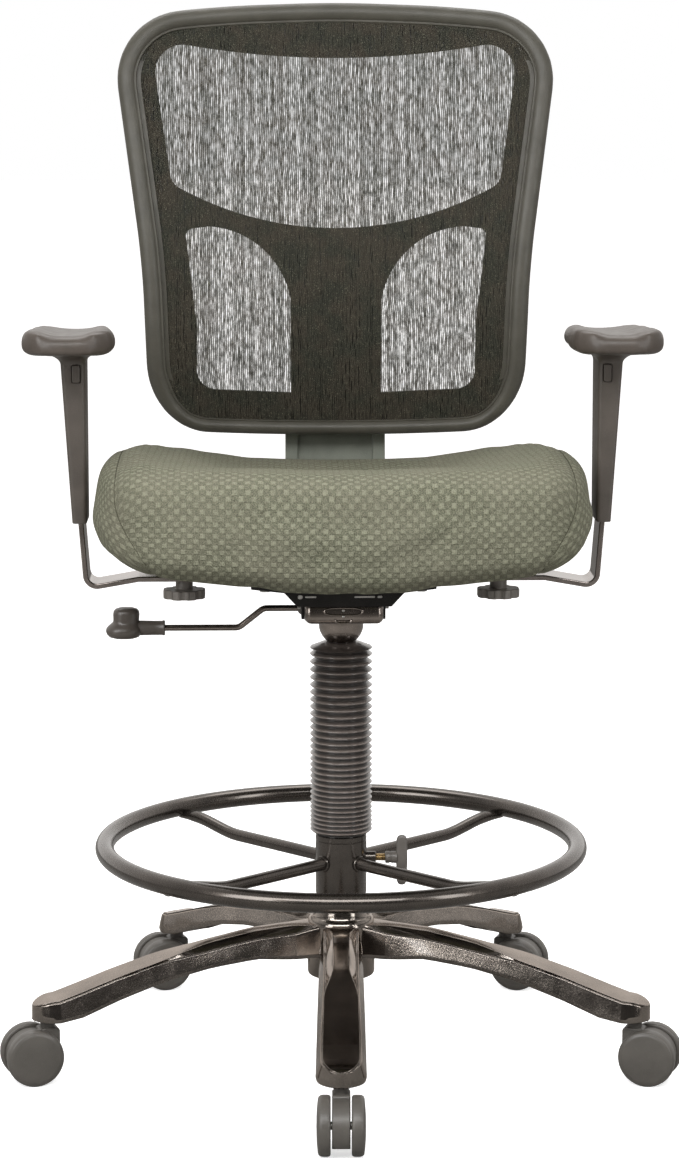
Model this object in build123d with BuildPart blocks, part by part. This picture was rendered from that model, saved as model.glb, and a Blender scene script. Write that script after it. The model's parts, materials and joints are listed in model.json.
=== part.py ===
"""Drafting chair with a mesh back, a height-adjustable foot ring and a five-star caster base.

Units are millimetres, +Z is up, the chair faces -Y and the origin lies on the floor under
the gas column. "left" and "right" are the sitter's own sides: left is +X, right is -X.
"""

import os
from math import asin, cos, degrees, radians, sin, tan

from build123d import *

os.makedirs("parts", exist_ok=True)

# ---------------------------------------------------------------------------
# Fits shared by every sub-assembly
# ---------------------------------------------------------------------------
RUNNING = 0.05  # radial play of a pin or tube in its bore
SEAT_GAP = 0.3  # play between faces that lie or slide on each other
TURN_GAP = 0.5  # axial play under a part that turns

# ---------------------------------------------------------------------------
# Casters: twin wheels either side of a hooded housing
# ---------------------------------------------------------------------------
BASE_TURN = -1.5  # degrees the base stands turned under the seat at rest
CASTER_CIRCLE = 323.0  # radius of the circle through the five stems
CASTER_HEADINGS = {  # name: (arm angle, direction in which the wheels trail)
    "front": (-90.0, -90.0),
    "left": (-18.0, -18.8),
    "rear_left": (54.0, -18.8),
    "rear_right": (126.0, 198.8),
    "right": (198.0, 198.8),
}
WHEEL_RADIUS = 30.0
WHEEL_WIDTH = 14.0
WHEEL_CROWN = 2.0  # how far the outer face bulges past the tread's edge
HOUSING_WIDTH = 18.0
HOUSING_RADIUS = 26.5
HOUSING_SKIRT = 13.0  # height of the hood's lower edge above the floor
CASTER_TRAIL = 17.0
AXLE_RADIUS = 4.0
STEM_RADIUS = 5.5
STEM_NECK_RADIUS = 7.5
SOCKET_FACE = 66.0  # height of the underside of each arm's tip
STEM_DEPTH = 18.0  # how far a stem reaches into its socket
WHEEL_GAP = 1.3  # side play between the hood and each wheel

# ---------------------------------------------------------------------------
# Five-star base
# ---------------------------------------------------------------------------
ARM_COUNT = 5
HUB_RADIUS = 36.0
HUB_BOTTOM = 88.0
HUB_SHOULDER = 147.0
ARM_TIP_RADIUS = 25.5
ARM_PAST_STEM = 16.0  # how far an arm's tip reaches past its caster's stem
ARM_REACH = CASTER_CIRCLE + ARM_PAST_STEM
ARM_STATIONS = (  # share of the reach, top height, bottom height, half width at top, at bottom
    (0.041, HUB_SHOULDER, 98.0, 19.0, 22.5),
    (0.177, HUB_SHOULDER, 113.0, 19.0, 23.0),
    (0.295, 144.5, 117.0, 18.5, 23.5),
    (0.442, 136.0, 112.0, 18.5, 24.0),
    (0.590, 124.0, 102.0, 19.0, 24.5),
    (0.738, 110.0, 86.0, 20.0, 25.0),
    (0.855, 97.0, 71.0, 20.5, 25.5),
    (0.938, 88.0, SOCKET_FACE, 21.0, 25.8),
    (1.018, 70.0, SOCKET_FACE, 21.5, 25.8),
)
ARM_WALL = 5.0
ARM_HOLLOW_STATIONS = 7  # the hollow under an arm runs this far, leaving a solid tip
HUB_TOP = 163.0
HUB_TOP_RADIUS = 28.5
HUB_LIP = 4.0  # thickness of the ledge that the column stands on

# ---------------------------------------------------------------------------
# Gas column
# ---------------------------------------------------------------------------
COLUMN_RADIUS = 25.0
COLUMN_WALL = 2.0
COLUMN_TOP = 370.0
COLUMN_FLOOR = 6.0
BUSH_LENGTH = 70.0
BUSH_FLANGE = 3.0
ROD_RADIUS = 5.0
ROD_SHOULDER_RADIUS = 9.0
ROD_SHOULDER = 4.0
BEARING_HEIGHT = 6.0
BEARING_RADIUS = 12.0
CLIP_HEIGHT = 2.0
PISTON_BOTTOM = 330.0
PISTON_HEIGHT = 12.0
CYLINDER_RADIUS = 14.0
CYLINDER_WALL = 3.0
CYLINDER_BOTTOM = 172.0
CYLINDER_TOP = 478.0
CYLINDER_GUIDE = 12.0  # length of the seal around the rod
CYLINDER_HEAD = 14.0  # length of the closed upper end
CYLINDER_TAPER = 0.6  # how much the upper end narrows in its socket
PIN_RADIUS = 2.5
PIN_PROUD = 4.0  # how far the release pin stands out of the cylinder

# ---------------------------------------------------------------------------
# Bellows over the column
# ---------------------------------------------------------------------------
BELLOWS_BOTTOM = 245.0
BELLOWS_CREST = 32.5
BELLOWS_VALLEY = 28.4
BELLOWS_SKIN = 0.8
BELLOWS_FOLDS = 30
BELLOWS_SPREAD = 1.95  # pitch of the top fold over the pitch of the bottom one
BELLOWS_CAP = 9.0  # height of the shoulder that closes the top

# ---------------------------------------------------------------------------
# Foot ring
# ---------------------------------------------------------------------------
RING_RADIUS = 252.0
RING_TUBE = 10.0
RING_HEIGHT = 230.0
RING_HUB_RADIUS = 27.2
RING_HUB_BOTTOM = 174.0
RING_HUB_TOP = 242.0
RING_HUB_GROOVE = 5.6  # distance of the turned groove below the hub's top
SPOKE_COUNT = 4
SPOKE_RADIUS = 6.5
SPOKE_HEIGHT = 212.5
SPOKE_KNEE = 176.0
SPOKE_RISE_END = 214.0
SPOKE_BEND = 80.0
SPOKE_END_DROP = 7.5  # the spoke meets the ring this far below its centre
CLAMP_HEIGHT = 215.6
CLAMP_SCREW_RADIUS = 4.0
CLAMP_BOSS_RADIUS = 6.5
CLAMP_BOSS_END = 37.0
CLAMP_COLLAR_START = 47.0
CLAMP_COLLAR_END = 59.0
CLAMP_WING_END = 71.0
CLAMP_WING_SPAN = 54.0
CLAMP_WING_THICKNESS = 6.0
CLAMP_WING_DROP = 3.0  # the wing hangs a little lower than its screw

# ---------------------------------------------------------------------------
# Tilt mechanism under the seat
# ---------------------------------------------------------------------------
SOCKET_BOTTOM = 450.5
SOCKET_RADIUS = 23.5
SOCKET_FLARE = 13.0  # height of the flared lower part
SOCKET_LIP = 1.3  # thickness of the socket's lower edge
CASE_HALF_WIDTH = 40.0
CASE_WALL = 3.0
CASE_REAR = 70.0
CASE_FLOOR = 474.0
CASE_NOSE_FLOOR = 489.5
CASE_NOSE_END = -24.0
CASE_REST = 521.7  # top edge on which the seat plate rests
CASE_REST_END = -80.0
CASE_REAR_TOP = 493.0
PIVOT_Y = -75.0
PIVOT_Z = 505.0
PIVOT_RADIUS = 5.0
PIVOT_HEAD = 3.5
SPRING_WIRE = 2.5
SPRING_TURNS = 4
SPRING_PITCH = 5.6
SPRING_OFFSET = 8.0  # the two springs start this far from the middle
LEVER_RADIUS = 3.3
LEVER_Z = 485.6
LEVER_BALL = 8.0
LEVER_LOW_Z = 465.0
LEVER_KNEE = 82.0
LEVER_FOOT = 108.0
LEVER_INNER = 3.0  # the rod ends just past the release pin
PADDLE_INNER = 186.0
PADDLE_NECK = 209.0
PADDLE_OUTER = 247.0
PADDLE_TOP = 487.0
PADDLE_BOTTOM = 453.0
PADDLE_HALF_DEPTH = 17.0

# ---------------------------------------------------------------------------
# Seat
# ---------------------------------------------------------------------------
PLATE_BOTTOM = 522.0
PLATE_THICKNESS = 4.0
PLATE_HALF_WIDTH = 95.0
PLATE_FRONT = -130.0
PLATE_REAR = 115.0
PLATE_LIP_HALF_TOP = 61.0
PLATE_LIP_HALF_BOTTOM = 48.0
PLATE_LIP_DROP = 14.0
PLATE_LIP_THICKNESS = 2.7
PLATE_LIP_CLEARANCE = 3.0  # the lip swings back towards the case's nose as the seat tilts
EAR_HALF_LENGTH = 18.0
EAR_DROP = 33.0
EAR_THICKNESS = 3.0
BOLT_X = 80.0
BOLT_Y = 92.0
BOLT_RADIUS = 3.0
BOLT_HEAD_RADIUS = 6.0
BOLT_HEAD = 4.0
BOLT_GRIP = 12.0
SEAT_FRONT = -266.0
SEAT_REAR = 220.0
SEAT_HALF_WIDTH = 263.0
SEAT_FRONT_HALF = 228.0
SEAT_REAR_HALF = 206.0
SEAT_FRONT_BOW = 36.0  # how far the front edge runs back at its corners
SEAT_REAR_BOW = 12.0
SEAT_WIDEST = -20.0  # where along the seat it is widest
SEAT_CORNER_FRONT = 90.0
SEAT_CORNER_REAR = 70.0
PAN_INSET = 20.0
PAN_DISH = 90.0  # how far its underside draws in below the rim
PAN_RIM = 3.0
PAN_THICKNESS = 14.7
CUSHION_BOTTOM = 541.0
CUSHION_SIDE_TOP = 653.0
CUSHION_CENTRE_TOP = 646.0  # height of the dished middle at the front
CUSHION_DISH_RADIUS = 1500.0
CUSHION_SLOPE = 3.0  # degrees the seat falls towards the back
CUSHION_TOP_ROUND = 33.0
CUSHION_BOTTOM_ROUND = 30.0
CUSHION_DISH_Y = -200.0  # where the dished middle has its height at the front

# ---------------------------------------------------------------------------
# Back
# ---------------------------------------------------------------------------
BACK_BOTTOM = 644.0
BACK_TOP = 1121.0
BACK_TOP_CORNER = 1103.0  # height at which the top edge would meet the sides
BACK_HALF_TOP = 249.0
BACK_HALF_WAIST = 213.0
BACK_WAIST = 838.0
BACK_HALF_BOTTOM = 206.5
BACK_BOTTOM_CORNER = 653.0  # height at which the bottom edge would meet the sides
BACK_ROUND_TOP = 72.0
BACK_ROUND_BOTTOM = 76.0
RIM = 21.0  # width of the frame at its sides and top
RIM_BOTTOM = 16.0
LUMBAR_Y = 206.0  # foremost point of the mesh
LUMBAR_Z = 790.0
LUMBAR_RADIUS = 520.0
SHELL_SPAN = 200.0  # depth of the blocks that are cut to the back's curve
UPPER_BACK = 900.0  # above this height the back leans straight
WRAP_RADIUS = 1060.0  # the sides of the back curve forward round the sitter
MESH_SKIN = 1.2
GRID_FRONT = 1.6  # distance of the grid's front face behind the mesh's front
GRID_THICKNESS = 7.0
FRAME_FRONT = -8.0
FRAME_DEPTH = 22.0
WINDOW_BAND_TOP = 40.0  # width of the grid over the upper window, on the middle line
WINDOW_BAND_SIDE = 24.0  # width of the grid beside the window's upper corners
WINDOW_TOP_MIDDLE = BACK_TOP - RIM - WINDOW_BAND_TOP
WINDOW_TOP_SIDE = BACK_TOP_CORNER - RIM
WINDOW_HALF_TOP = BACK_HALF_TOP - RIM - WINDOW_BAND_SIDE
WINDOW_HALF_BOTTOM = 181.0
WINDOW_BOTTOM_SIDE = 924.0
WINDOW_BOTTOM_MIDDLE = 874.5
WINDOW_ROUND_TOP = 30.0
WINDOW_ROUND_BOTTOM = 20.0
LOWER_INNER = 50.0
LOWER_BOTTOM = 692.5
LOWER_BOTTOM_OUTER = 698.0
LOWER_SHOULDER = 795.0
LOWER_TOP = 877.0
LOWER_TOP_PEAK = 140.0
LOWER_OUTER_TOP = 166.0
LOWER_OUTER = 154.0
LOWER_OUTER_KINK = 770.0
LOWER_ROUND = 22.0

# ---------------------------------------------------------------------------
# Back support: bent bar, cover and the carriage that slides on the bar
# ---------------------------------------------------------------------------
BAR_HALF_WIDTH = 35.0
BAR_THICKNESS = 6.0
BAR_START = 72.0
BAR_BEND_Y = 262.0
BAR_BEND_RADIUS = 42.0
BAR_TOP = 815.0
BAR_LEAN = 3.0  # degrees
COVER_HALF_WIDTH = 56.0
COVER_BOTTOM = 566.0
COVER_TOP = 668.0
COVER_DEPTH = 17.0
COVER_PANEL_HALF = 42.0
COVER_PANEL_DEPTH = 5.0
CARRIAGE_HALF_WIDTH = 48.0
CARRIAGE_BOTTOM = 700.0
CARRIAGE_TOP = 835.0
CARRIAGE_WALL = 9.0

# ---------------------------------------------------------------------------
# Arms
# ---------------------------------------------------------------------------
ARM_Y = -15.0  # middle of each arm, front to back
ARM_BAR_WIDTH = 50.0
ARM_BAR_THICKNESS = 5.5
ARM_BAR_INNER = 105.0
ARM_BAR_RISE = 212.0  # here the bar starts to fall towards its corner
ARM_CORNER_X = 266.0
ARM_CORNER_Z = 513.5
ARM_LEAN = 4.3  # degrees the upright leans outwards
ARM_BAR_TOP = 700.0
ARM_BEND = 12.0
ARM_SLOT_PLAY = 0.6
ARM_WIDTH_TRAVEL = 35.0
KNOB_X = 165.0
KNOB_RADIUS = 22.5
KNOB_BOTTOM = 499.5
KNOB_THICKNESS = 9.5
KNOB_LOBES = 8
KNOB_NECK_RADIUS = 9.0
KNOB_STUD_RADIUS = 4.0
KNOB_STUD_TOP = 536.0
SLEEVE_BOTTOM = 582.0
SLEEVE_TOP = 746.0
SLEEVE_INNER_X = 264.9
SLEEVE_BOTTOM_WIDTH = 15.0
SLEEVE_TOP_WIDTH = 25.0
SLEEVE_BOTTOM_DEPTH = 58.0
SLEEVE_TOP_DEPTH = 64.0
NECK_WIDTH = 58.0
NECK_DEPTH = 110.0
PAD_X = 280.0
PAD_Y = 0.0
PAD_BOTTOM = 759.0  # at the middle of the pad's length
PAD_SLOPE = 2.2  # degrees the pad falls towards the back
PAD_HALF_WIDTH = 47.0
PAD_LENGTH = 250.0
PAD_CORNER = 40.0
PAD_MIDDLE = 15.5  # thickness along the dished middle
PAD_EDGE = 22.5  # thickness along the raised edges
PAD_CHAMFER = 4.0
PAD_SIDE_ROUND = 9.0
BUTTON_WIDTH = 8.0
BUTTON_HEIGHT = 18.0
BUTTON_DEPTH = 7.0
BUTTON_PROUD = 2.0
BUTTON_Z = 738.0
BUTTON_X = 274.0
BUTTON_TRAVEL = 2.5


def save(piece, name):
    """Label a finished piece and write it as its own STEP file."""
    piece.label = name
    export_step(piece, f"parts/{name}.step")


def save_in_base(piece, name):
    """Write a piece that belongs to the base, turned with it under the seat."""
    save(piece.rotate(Axis.Z, BASE_TURN), name)


# ---------------------------------------------------------------------------
# Casters, built once about their stem's axis and then set under each arm.
# The wheels trail towards local +X.
# ---------------------------------------------------------------------------
wheel_inner = HOUSING_WIDTH / 2 + WHEEL_GAP
wheel_outer = wheel_inner + WHEEL_WIDTH
stem_top = SOCKET_FACE + STEM_DEPTH
neck_top = SOCKET_FACE - TURN_GAP
neck_bottom = WHEEL_RADIUS + HOUSING_RADIUS - 4
axle_plane = Plane(origin=(CASTER_TRAIL, 0, WHEEL_RADIUS), x_dir=(1, 0, 0), z_dir=(0, -1, 0))
crown_edge = WHEEL_RADIUS - 2
crown_radius = (crown_edge**2 + WHEEL_CROWN**2) / (2 * WHEEL_CROWN)

with BuildPart() as caster_housing:
    with BuildSketch(axle_plane):
        Circle(HOUSING_RADIUS)
        with Locations((-CASTER_TRAIL, HOUSING_RADIUS / 2 + 3)):
            RectangleRounded(2 * STEM_NECK_RADIUS + 8, HOUSING_RADIUS - 2, 4)
        with Locations((0, HOUSING_SKIRT - WHEEL_RADIUS)):
            Rectangle(
                4 * HOUSING_RADIUS, HOUSING_RADIUS, align=(Align.CENTER, Align.MAX), mode=Mode.SUBTRACT
            )
    extrude(amount=HOUSING_WIDTH / 2, both=True)
    fillet(caster_housing.edges().filter_by(GeomType.CIRCLE), 1.5)
    with BuildSketch(Plane.XY.offset(neck_bottom)):
        Circle(STEM_NECK_RADIUS)
    extrude(amount=neck_top - neck_bottom)
    with BuildSketch(Plane.XY.offset(WHEEL_RADIUS + STEM_RADIUS)):
        Circle(STEM_RADIUS + RUNNING)
    extrude(amount=SOCKET_FACE, mode=Mode.SUBTRACT)
    with BuildSketch(axle_plane):
        Circle(AXLE_RADIUS + RUNNING)
    extrude(amount=HOUSING_WIDTH, both=True, mode=Mode.SUBTRACT)

with BuildPart() as caster_stem:
    with BuildSketch(Plane.XY.offset(WHEEL_RADIUS + STEM_RADIUS)):
        Circle(STEM_RADIUS)
    extrude(amount=stem_top - WHEEL_RADIUS - STEM_RADIUS)
    chamfer(caster_stem.faces().sort_by(Axis.Z)[-1].edges(), 1.2)
    with BuildSketch(Plane.XY.offset(stem_top - 6)):
        Circle(STEM_RADIUS)
        Circle(STEM_RADIUS - 0.8, mode=Mode.SUBTRACT)
    extrude(amount=2, mode=Mode.SUBTRACT)

with BuildPart() as caster_axle:
    with BuildSketch(axle_plane):
        Circle(AXLE_RADIUS)
    extrude(amount=wheel_outer - WHEEL_CROWN - 1, both=True)

with BuildPart() as caster_wheels:
    with BuildSketch(Plane.XY.offset(WHEEL_RADIUS)):
        with BuildLine():
            Polyline(
                (CASTER_TRAIL, wheel_outer - WHEEL_CROWN - 1),
                (CASTER_TRAIL + AXLE_RADIUS + RUNNING, wheel_outer - WHEEL_CROWN - 1),
                (CASTER_TRAIL + AXLE_RADIUS + RUNNING, wheel_inner),
                (CASTER_TRAIL + 2 * AXLE_RADIUS, wheel_inner),
                (CASTER_TRAIL + 2 * AXLE_RADIUS, wheel_inner + WHEEL_WIDTH / 2),
                (CASTER_TRAIL + WHEEL_RADIUS - 4, wheel_inner + WHEEL_WIDTH / 2),
                (CASTER_TRAIL + WHEEL_RADIUS - 4, wheel_inner),
                (CASTER_TRAIL + WHEEL_RADIUS - 1, wheel_inner),
                (CASTER_TRAIL + WHEEL_RADIUS, wheel_inner + 1),
                (CASTER_TRAIL + WHEEL_RADIUS, wheel_outer - WHEEL_CROWN - 1),
                (CASTER_TRAIL + crown_edge, wheel_outer - WHEEL_CROWN),
            )
            CenterArc(
                (CASTER_TRAIL, wheel_outer - crown_radius), crown_radius,
                90, -degrees(asin(crown_edge / crown_radius)),
            )
            Line((CASTER_TRAIL, wheel_outer), (CASTER_TRAIL, wheel_outer - WHEEL_CROWN - 1))
        make_face()
    revolve(axis=Axis((CASTER_TRAIL, 0, WHEEL_RADIUS), (0, 1, 0)))
    mirror(about=Plane.XZ)

for corner, (arm_angle, heading) in CASTER_HEADINGS.items():
    spot = Location(
        (CASTER_CIRCLE * cos(radians(arm_angle)), CASTER_CIRCLE * sin(radians(arm_angle)), 0),
        (0, 0, heading),
    )
    save_in_base(caster_stem.part.moved(spot), f"caster_{corner}_stem")
    save_in_base(caster_housing.part.moved(spot), f"caster_{corner}_housing")
    save_in_base(caster_axle.part.moved(spot), f"caster_{corner}_axle")
    save_in_base(caster_wheels.part.moved(spot), f"caster_{corner}_wheels")

# ---------------------------------------------------------------------------
# Five-star base: hollow bevelled arms about a hub with the caster sockets in their tips
# ---------------------------------------------------------------------------
with BuildPart() as star_arm:
    for share, top, bottom, half_top, half_bottom in ARM_STATIONS:
        with BuildSketch(Plane.YZ.offset(share * ARM_REACH)):
            Polygon(
                (-half_bottom, bottom),
                (half_bottom, bottom),
                (half_top, top),
                (-half_top, top),
                align=None,
            )
    loft(ruled=True)
    with BuildSketch(Plane.XY):
        with Locations((ARM_REACH - ARM_TIP_RADIUS, 0)):
            Circle(ARM_TIP_RADIUS)
            Rectangle(ARM_REACH, 2 * ARM_TIP_RADIUS + 2, align=(Align.MAX, Align.CENTER))
    extrude(amount=2 * HUB_TOP, mode=Mode.INTERSECT)

with BuildPart() as star_hollow:
    for share, top, bottom, half_top, half_bottom in ARM_STATIONS[:ARM_HOLLOW_STATIONS]:
        with BuildSketch(Plane.YZ.offset(share * ARM_REACH)):
            Polygon(
                (ARM_WALL - half_bottom, bottom - 1),
                (half_bottom - ARM_WALL, bottom - 1),
                (half_top - ARM_WALL, top - ARM_WALL),
                (ARM_WALL - half_top, top - ARM_WALL),
                align=None,
            )
    loft(ruled=True)

with BuildPart() as base_star:
    with PolarLocations(0, ARM_COUNT, start_angle=-90):
        add(star_arm.part)
    with PolarLocations(0, ARM_COUNT, start_angle=-90):
        add(star_hollow.part, mode=Mode.SUBTRACT)
    with BuildSketch(Plane.XZ):
        with BuildLine():
            Polyline(
                (0, HUB_BOTTOM),
                (HUB_RADIUS - 3, HUB_BOTTOM),
                (HUB_RADIUS, HUB_BOTTOM + 3),
                (HUB_RADIUS, HUB_SHOULDER),
                (HUB_TOP_RADIUS + 2, HUB_SHOULDER + 6),
                (HUB_TOP_RADIUS, HUB_TOP),
                (0, HUB_TOP),
                close=True,
            )
        make_face()
    revolve(axis=Axis.Z)
    with BuildSketch(Plane.XY.offset(HUB_BOTTOM + HUB_LIP)):
        Circle(COLUMN_RADIUS + RUNNING)
    extrude(amount=HUB_TOP, mode=Mode.SUBTRACT)
    with BuildSketch(Plane.XY.offset(HUB_BOTTOM)):
        Circle(COLUMN_RADIUS - COLUMN_WALL - 1)
    extrude(amount=HUB_TOP, mode=Mode.SUBTRACT)
    with BuildSketch(Plane.XY.offset(SOCKET_FACE)):
        with PolarLocations(CASTER_CIRCLE, ARM_COUNT, start_angle=-90):
            Circle(STEM_RADIUS + RUNNING)
    extrude(amount=STEM_DEPTH + TURN_GAP, mode=Mode.SUBTRACT)
save_in_base(base_star.part, "base_star")

# ---------------------------------------------------------------------------
# Gas column: stand tube, guide bush, thrust bearing and clip, rod, cylinder, release pin
# ---------------------------------------------------------------------------
column_bottom = HUB_BOTTOM + HUB_LIP
bearing_bottom = column_bottom + COLUMN_FLOOR
shoulder_bottom = bearing_bottom + BEARING_HEIGHT

with BuildPart() as column_tube:
    with BuildSketch(Plane.XY.offset(column_bottom)):
        Circle(COLUMN_RADIUS)
    extrude(amount=COLUMN_TOP - column_bottom)
    with BuildSketch(Plane.XY.offset(bearing_bottom)):
        Circle(COLUMN_RADIUS - COLUMN_WALL)
    extrude(amount=COLUMN_TOP, mode=Mode.SUBTRACT)
    with BuildSketch(Plane.XY.offset(column_bottom)):
        Circle(ROD_RADIUS + RUNNING)
    extrude(amount=COLUMN_FLOOR, mode=Mode.SUBTRACT)
save_in_base(column_tube.part, "column_tube")

with BuildPart() as column_bush:
    with BuildSketch(Plane.XY.offset(COLUMN_TOP - BUSH_LENGTH)):
        Circle(COLUMN_RADIUS - COLUMN_WALL - RUNNING)
    extrude(amount=BUSH_LENGTH)
    with BuildSketch(Plane.XY.offset(COLUMN_TOP)):
        Circle(COLUMN_RADIUS)
    extrude(amount=BUSH_FLANGE)
    with BuildSketch(Plane.XY.offset(COLUMN_TOP - BUSH_LENGTH)):
        Circle(CYLINDER_RADIUS + RUNNING)
    extrude(amount=BUSH_LENGTH + BUSH_FLANGE, mode=Mode.SUBTRACT)
save_in_base(column_bush.part, "column_bush")

with BuildPart() as thrust_bearing:
    with BuildSketch(Plane.XY.offset(bearing_bottom)):
        Circle(BEARING_RADIUS)
        Circle(ROD_RADIUS + RUNNING, mode=Mode.SUBTRACT)
    extrude(amount=BEARING_HEIGHT)
    with BuildSketch(Plane.XY.offset(bearing_bottom + BEARING_HEIGHT / 2 - 0.5)):
        Circle(BEARING_RADIUS)
        Circle(BEARING_RADIUS - 2, mode=Mode.SUBTRACT)
    extrude(amount=1, mode=Mode.SUBTRACT)
save_in_base(thrust_bearing.part, "thrust_bearing")

with BuildPart() as piston_rod:
    with BuildSketch(Plane.XY.offset(HUB_BOTTOM - 1)):
        Circle(ROD_RADIUS)
    extrude(amount=PISTON_BOTTOM - HUB_BOTTOM + 1)
    with BuildSketch(Plane.XY.offset(shoulder_bottom)):
        Circle(ROD_SHOULDER_RADIUS)
    extrude(amount=ROD_SHOULDER)
    with BuildSketch(Plane.XY.offset(PISTON_BOTTOM)):
        Circle(CYLINDER_RADIUS - CYLINDER_WALL - RUNNING)
    extrude(amount=PISTON_HEIGHT)
    with BuildSketch(Plane.XY.offset(column_bottom - TURN_GAP - CLIP_HEIGHT)):
        Circle(ROD_RADIUS)
        Circle(ROD_RADIUS - 1, mode=Mode.SUBTRACT)
    extrude(amount=CLIP_HEIGHT, mode=Mode.SUBTRACT)
save(piston_rod.part, "piston_rod")

with BuildPart() as rod_clip:
    with BuildSketch(Plane.XY.offset(column_bottom - TURN_GAP - CLIP_HEIGHT)):
        Circle(ROD_RADIUS + 3.5)
        Circle(ROD_RADIUS - 1, mode=Mode.SUBTRACT)
        with Locations((ROD_RADIUS, 0)):
            Rectangle(2 * ROD_RADIUS, ROD_RADIUS, mode=Mode.SUBTRACT)
    extrude(amount=CLIP_HEIGHT)
save(rod_clip.part, "rod_clip")

cylinder_bore = CYLINDER_RADIUS - CYLINDER_WALL
pin_top = CYLINDER_TOP + PIN_PROUD
valve_bottom = CYLINDER_TOP - CYLINDER_HEAD

with BuildPart() as pressure_tube:
    with BuildSketch(Plane.XZ):
        with BuildLine():
            Polyline(
                (ROD_RADIUS + RUNNING, CYLINDER_BOTTOM),
                (CYLINDER_RADIUS, CYLINDER_BOTTOM),
                (CYLINDER_RADIUS, SOCKET_BOTTOM),
                (CYLINDER_RADIUS - CYLINDER_TAPER, CYLINDER_TOP),
                (PIN_RADIUS + RUNNING, CYLINDER_TOP),
                (PIN_RADIUS + RUNNING, valve_bottom),
                (cylinder_bore, valve_bottom),
                (cylinder_bore, CYLINDER_BOTTOM + CYLINDER_GUIDE),
                (ROD_RADIUS + RUNNING, CYLINDER_BOTTOM + CYLINDER_GUIDE),
                close=True,
            )
        make_face()
    revolve(axis=Axis.Z)
save(pressure_tube.part, "pressure_tube")

with BuildPart() as release_pin:
    with BuildSketch(Plane.XY.offset(valve_bottom + 2)):
        Circle(PIN_RADIUS)
    extrude(amount=pin_top - valve_bottom - 2)
save(release_pin.part, "release_pin")

# ---------------------------------------------------------------------------
# Bellows: folds that open out towards the top, closed above by a sloping shoulder
# ---------------------------------------------------------------------------
bellows_top = SOCKET_BOTTOM - SEAT_GAP
fold_height = bellows_top - BELLOWS_CAP - BELLOWS_BOTTOM
fold_steps = [1 + (BELLOWS_SPREAD - 1) * n / (BELLOWS_FOLDS - 1) for n in range(BELLOWS_FOLDS)]
fold_unit = fold_height / sum(fold_steps)
outer_side = [(BELLOWS_VALLEY, BELLOWS_BOTTOM)]
for step in fold_steps:
    low = outer_side[-1][1]
    outer_side.append((BELLOWS_CREST, low + step * fold_unit / 2))
    outer_side.append((BELLOWS_VALLEY, low + step * fold_unit))
cap_hole = CYLINDER_RADIUS + SEAT_GAP
inner_side = [(radius - BELLOWS_SKIN, height) for radius, height in reversed(outer_side)]

with BuildPart() as bellows:
    with BuildSketch(Plane.XZ):
        with BuildLine():
            Polyline(
                *outer_side,
                (BELLOWS_CREST - 1, outer_side[-1][1] + 2),
                (cap_hole, bellows_top),
                (cap_hole, bellows_top - 2 * BELLOWS_SKIN),
                *inner_side,
                close=True,
            )
        make_face()
    revolve(axis=Axis.Z)
save(bellows.part, "bellows")

# ---------------------------------------------------------------------------
# Foot ring: ring, four cranked spokes, sliding hub and its clamp screw
# ---------------------------------------------------------------------------
with BuildPart() as foot_ring:
    with BuildSketch(Plane.XZ):
        with Locations((RING_RADIUS, RING_HEIGHT)):
            Circle(RING_TUBE)
    revolve(axis=Axis.Z)
save_in_base(foot_ring.part, "foot_ring")

spoke_end_z = RING_HEIGHT - SPOKE_END_DROP
with BuildPart() as spoke:
    with BuildLine(Plane.XZ) as spoke_path:
        FilletPolyline(
            (COLUMN_RADIUS + 1, SPOKE_HEIGHT),
            (SPOKE_KNEE, SPOKE_HEIGHT),
            (SPOKE_RISE_END, spoke_end_z),
            (RING_RADIUS - 2, spoke_end_z),
            radius=SPOKE_BEND,
        )
    with BuildSketch(Plane(origin=spoke_path.line @ 0, z_dir=spoke_path.line % 0)):
        Circle(SPOKE_RADIUS)
    sweep(path=spoke_path.line)
    add(foot_ring.part, mode=Mode.SUBTRACT)
    with BuildSketch(Plane.XY):
        Circle(RING_HUB_RADIUS)
    extrude(amount=BELLOWS_BOTTOM, mode=Mode.SUBTRACT)

with BuildPart() as foot_ring_spokes:
    with PolarLocations(0, SPOKE_COUNT, start_angle=45):
        add(spoke.part)
save_in_base(foot_ring_spokes.part, "foot_ring_spokes")

clamp_plane = Plane(origin=(0, 0, CLAMP_HEIGHT), x_dir=(0, 1, 0), z_dir=(1, 0, 0))
with BuildPart() as foot_ring_hub:
    with BuildSketch(Plane.XY.offset(RING_HUB_BOTTOM)):
        Circle(RING_HUB_RADIUS)
    extrude(amount=RING_HUB_TOP - RING_HUB_BOTTOM)
    chamfer(foot_ring_hub.edges().sort_by(Axis.Z)[0], 1.8)
    with BuildSketch(Plane.XY.offset(RING_HUB_TOP - RING_HUB_GROOVE)):
        Circle(RING_HUB_RADIUS)
        Circle(RING_HUB_RADIUS - 0.6, mode=Mode.SUBTRACT)
    extrude(amount=-1.2, mode=Mode.SUBTRACT)
    with BuildSketch(clamp_plane):
        Circle(CLAMP_BOSS_RADIUS)
    extrude(amount=CLAMP_BOSS_END)
    with BuildSketch(Plane.XY.offset(RING_HUB_BOTTOM)):
        Circle(COLUMN_RADIUS + RUNNING)
    extrude(amount=RING_HUB_TOP, mode=Mode.SUBTRACT)
    with BuildSketch(clamp_plane):
        Circle(CLAMP_SCREW_RADIUS + RUNNING)
    extrude(amount=CLAMP_BOSS_END, mode=Mode.SUBTRACT)
    with BuildSketch(Plane.XY.offset(RING_HUB_TOP - 18)):
        with PolarLocations(RING_HUB_RADIUS, 1, start_angle=-32):
            Rectangle(2 * RING_TUBE, 3)
    extrude(amount=RING_TUBE + 8, mode=Mode.SUBTRACT)
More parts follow.
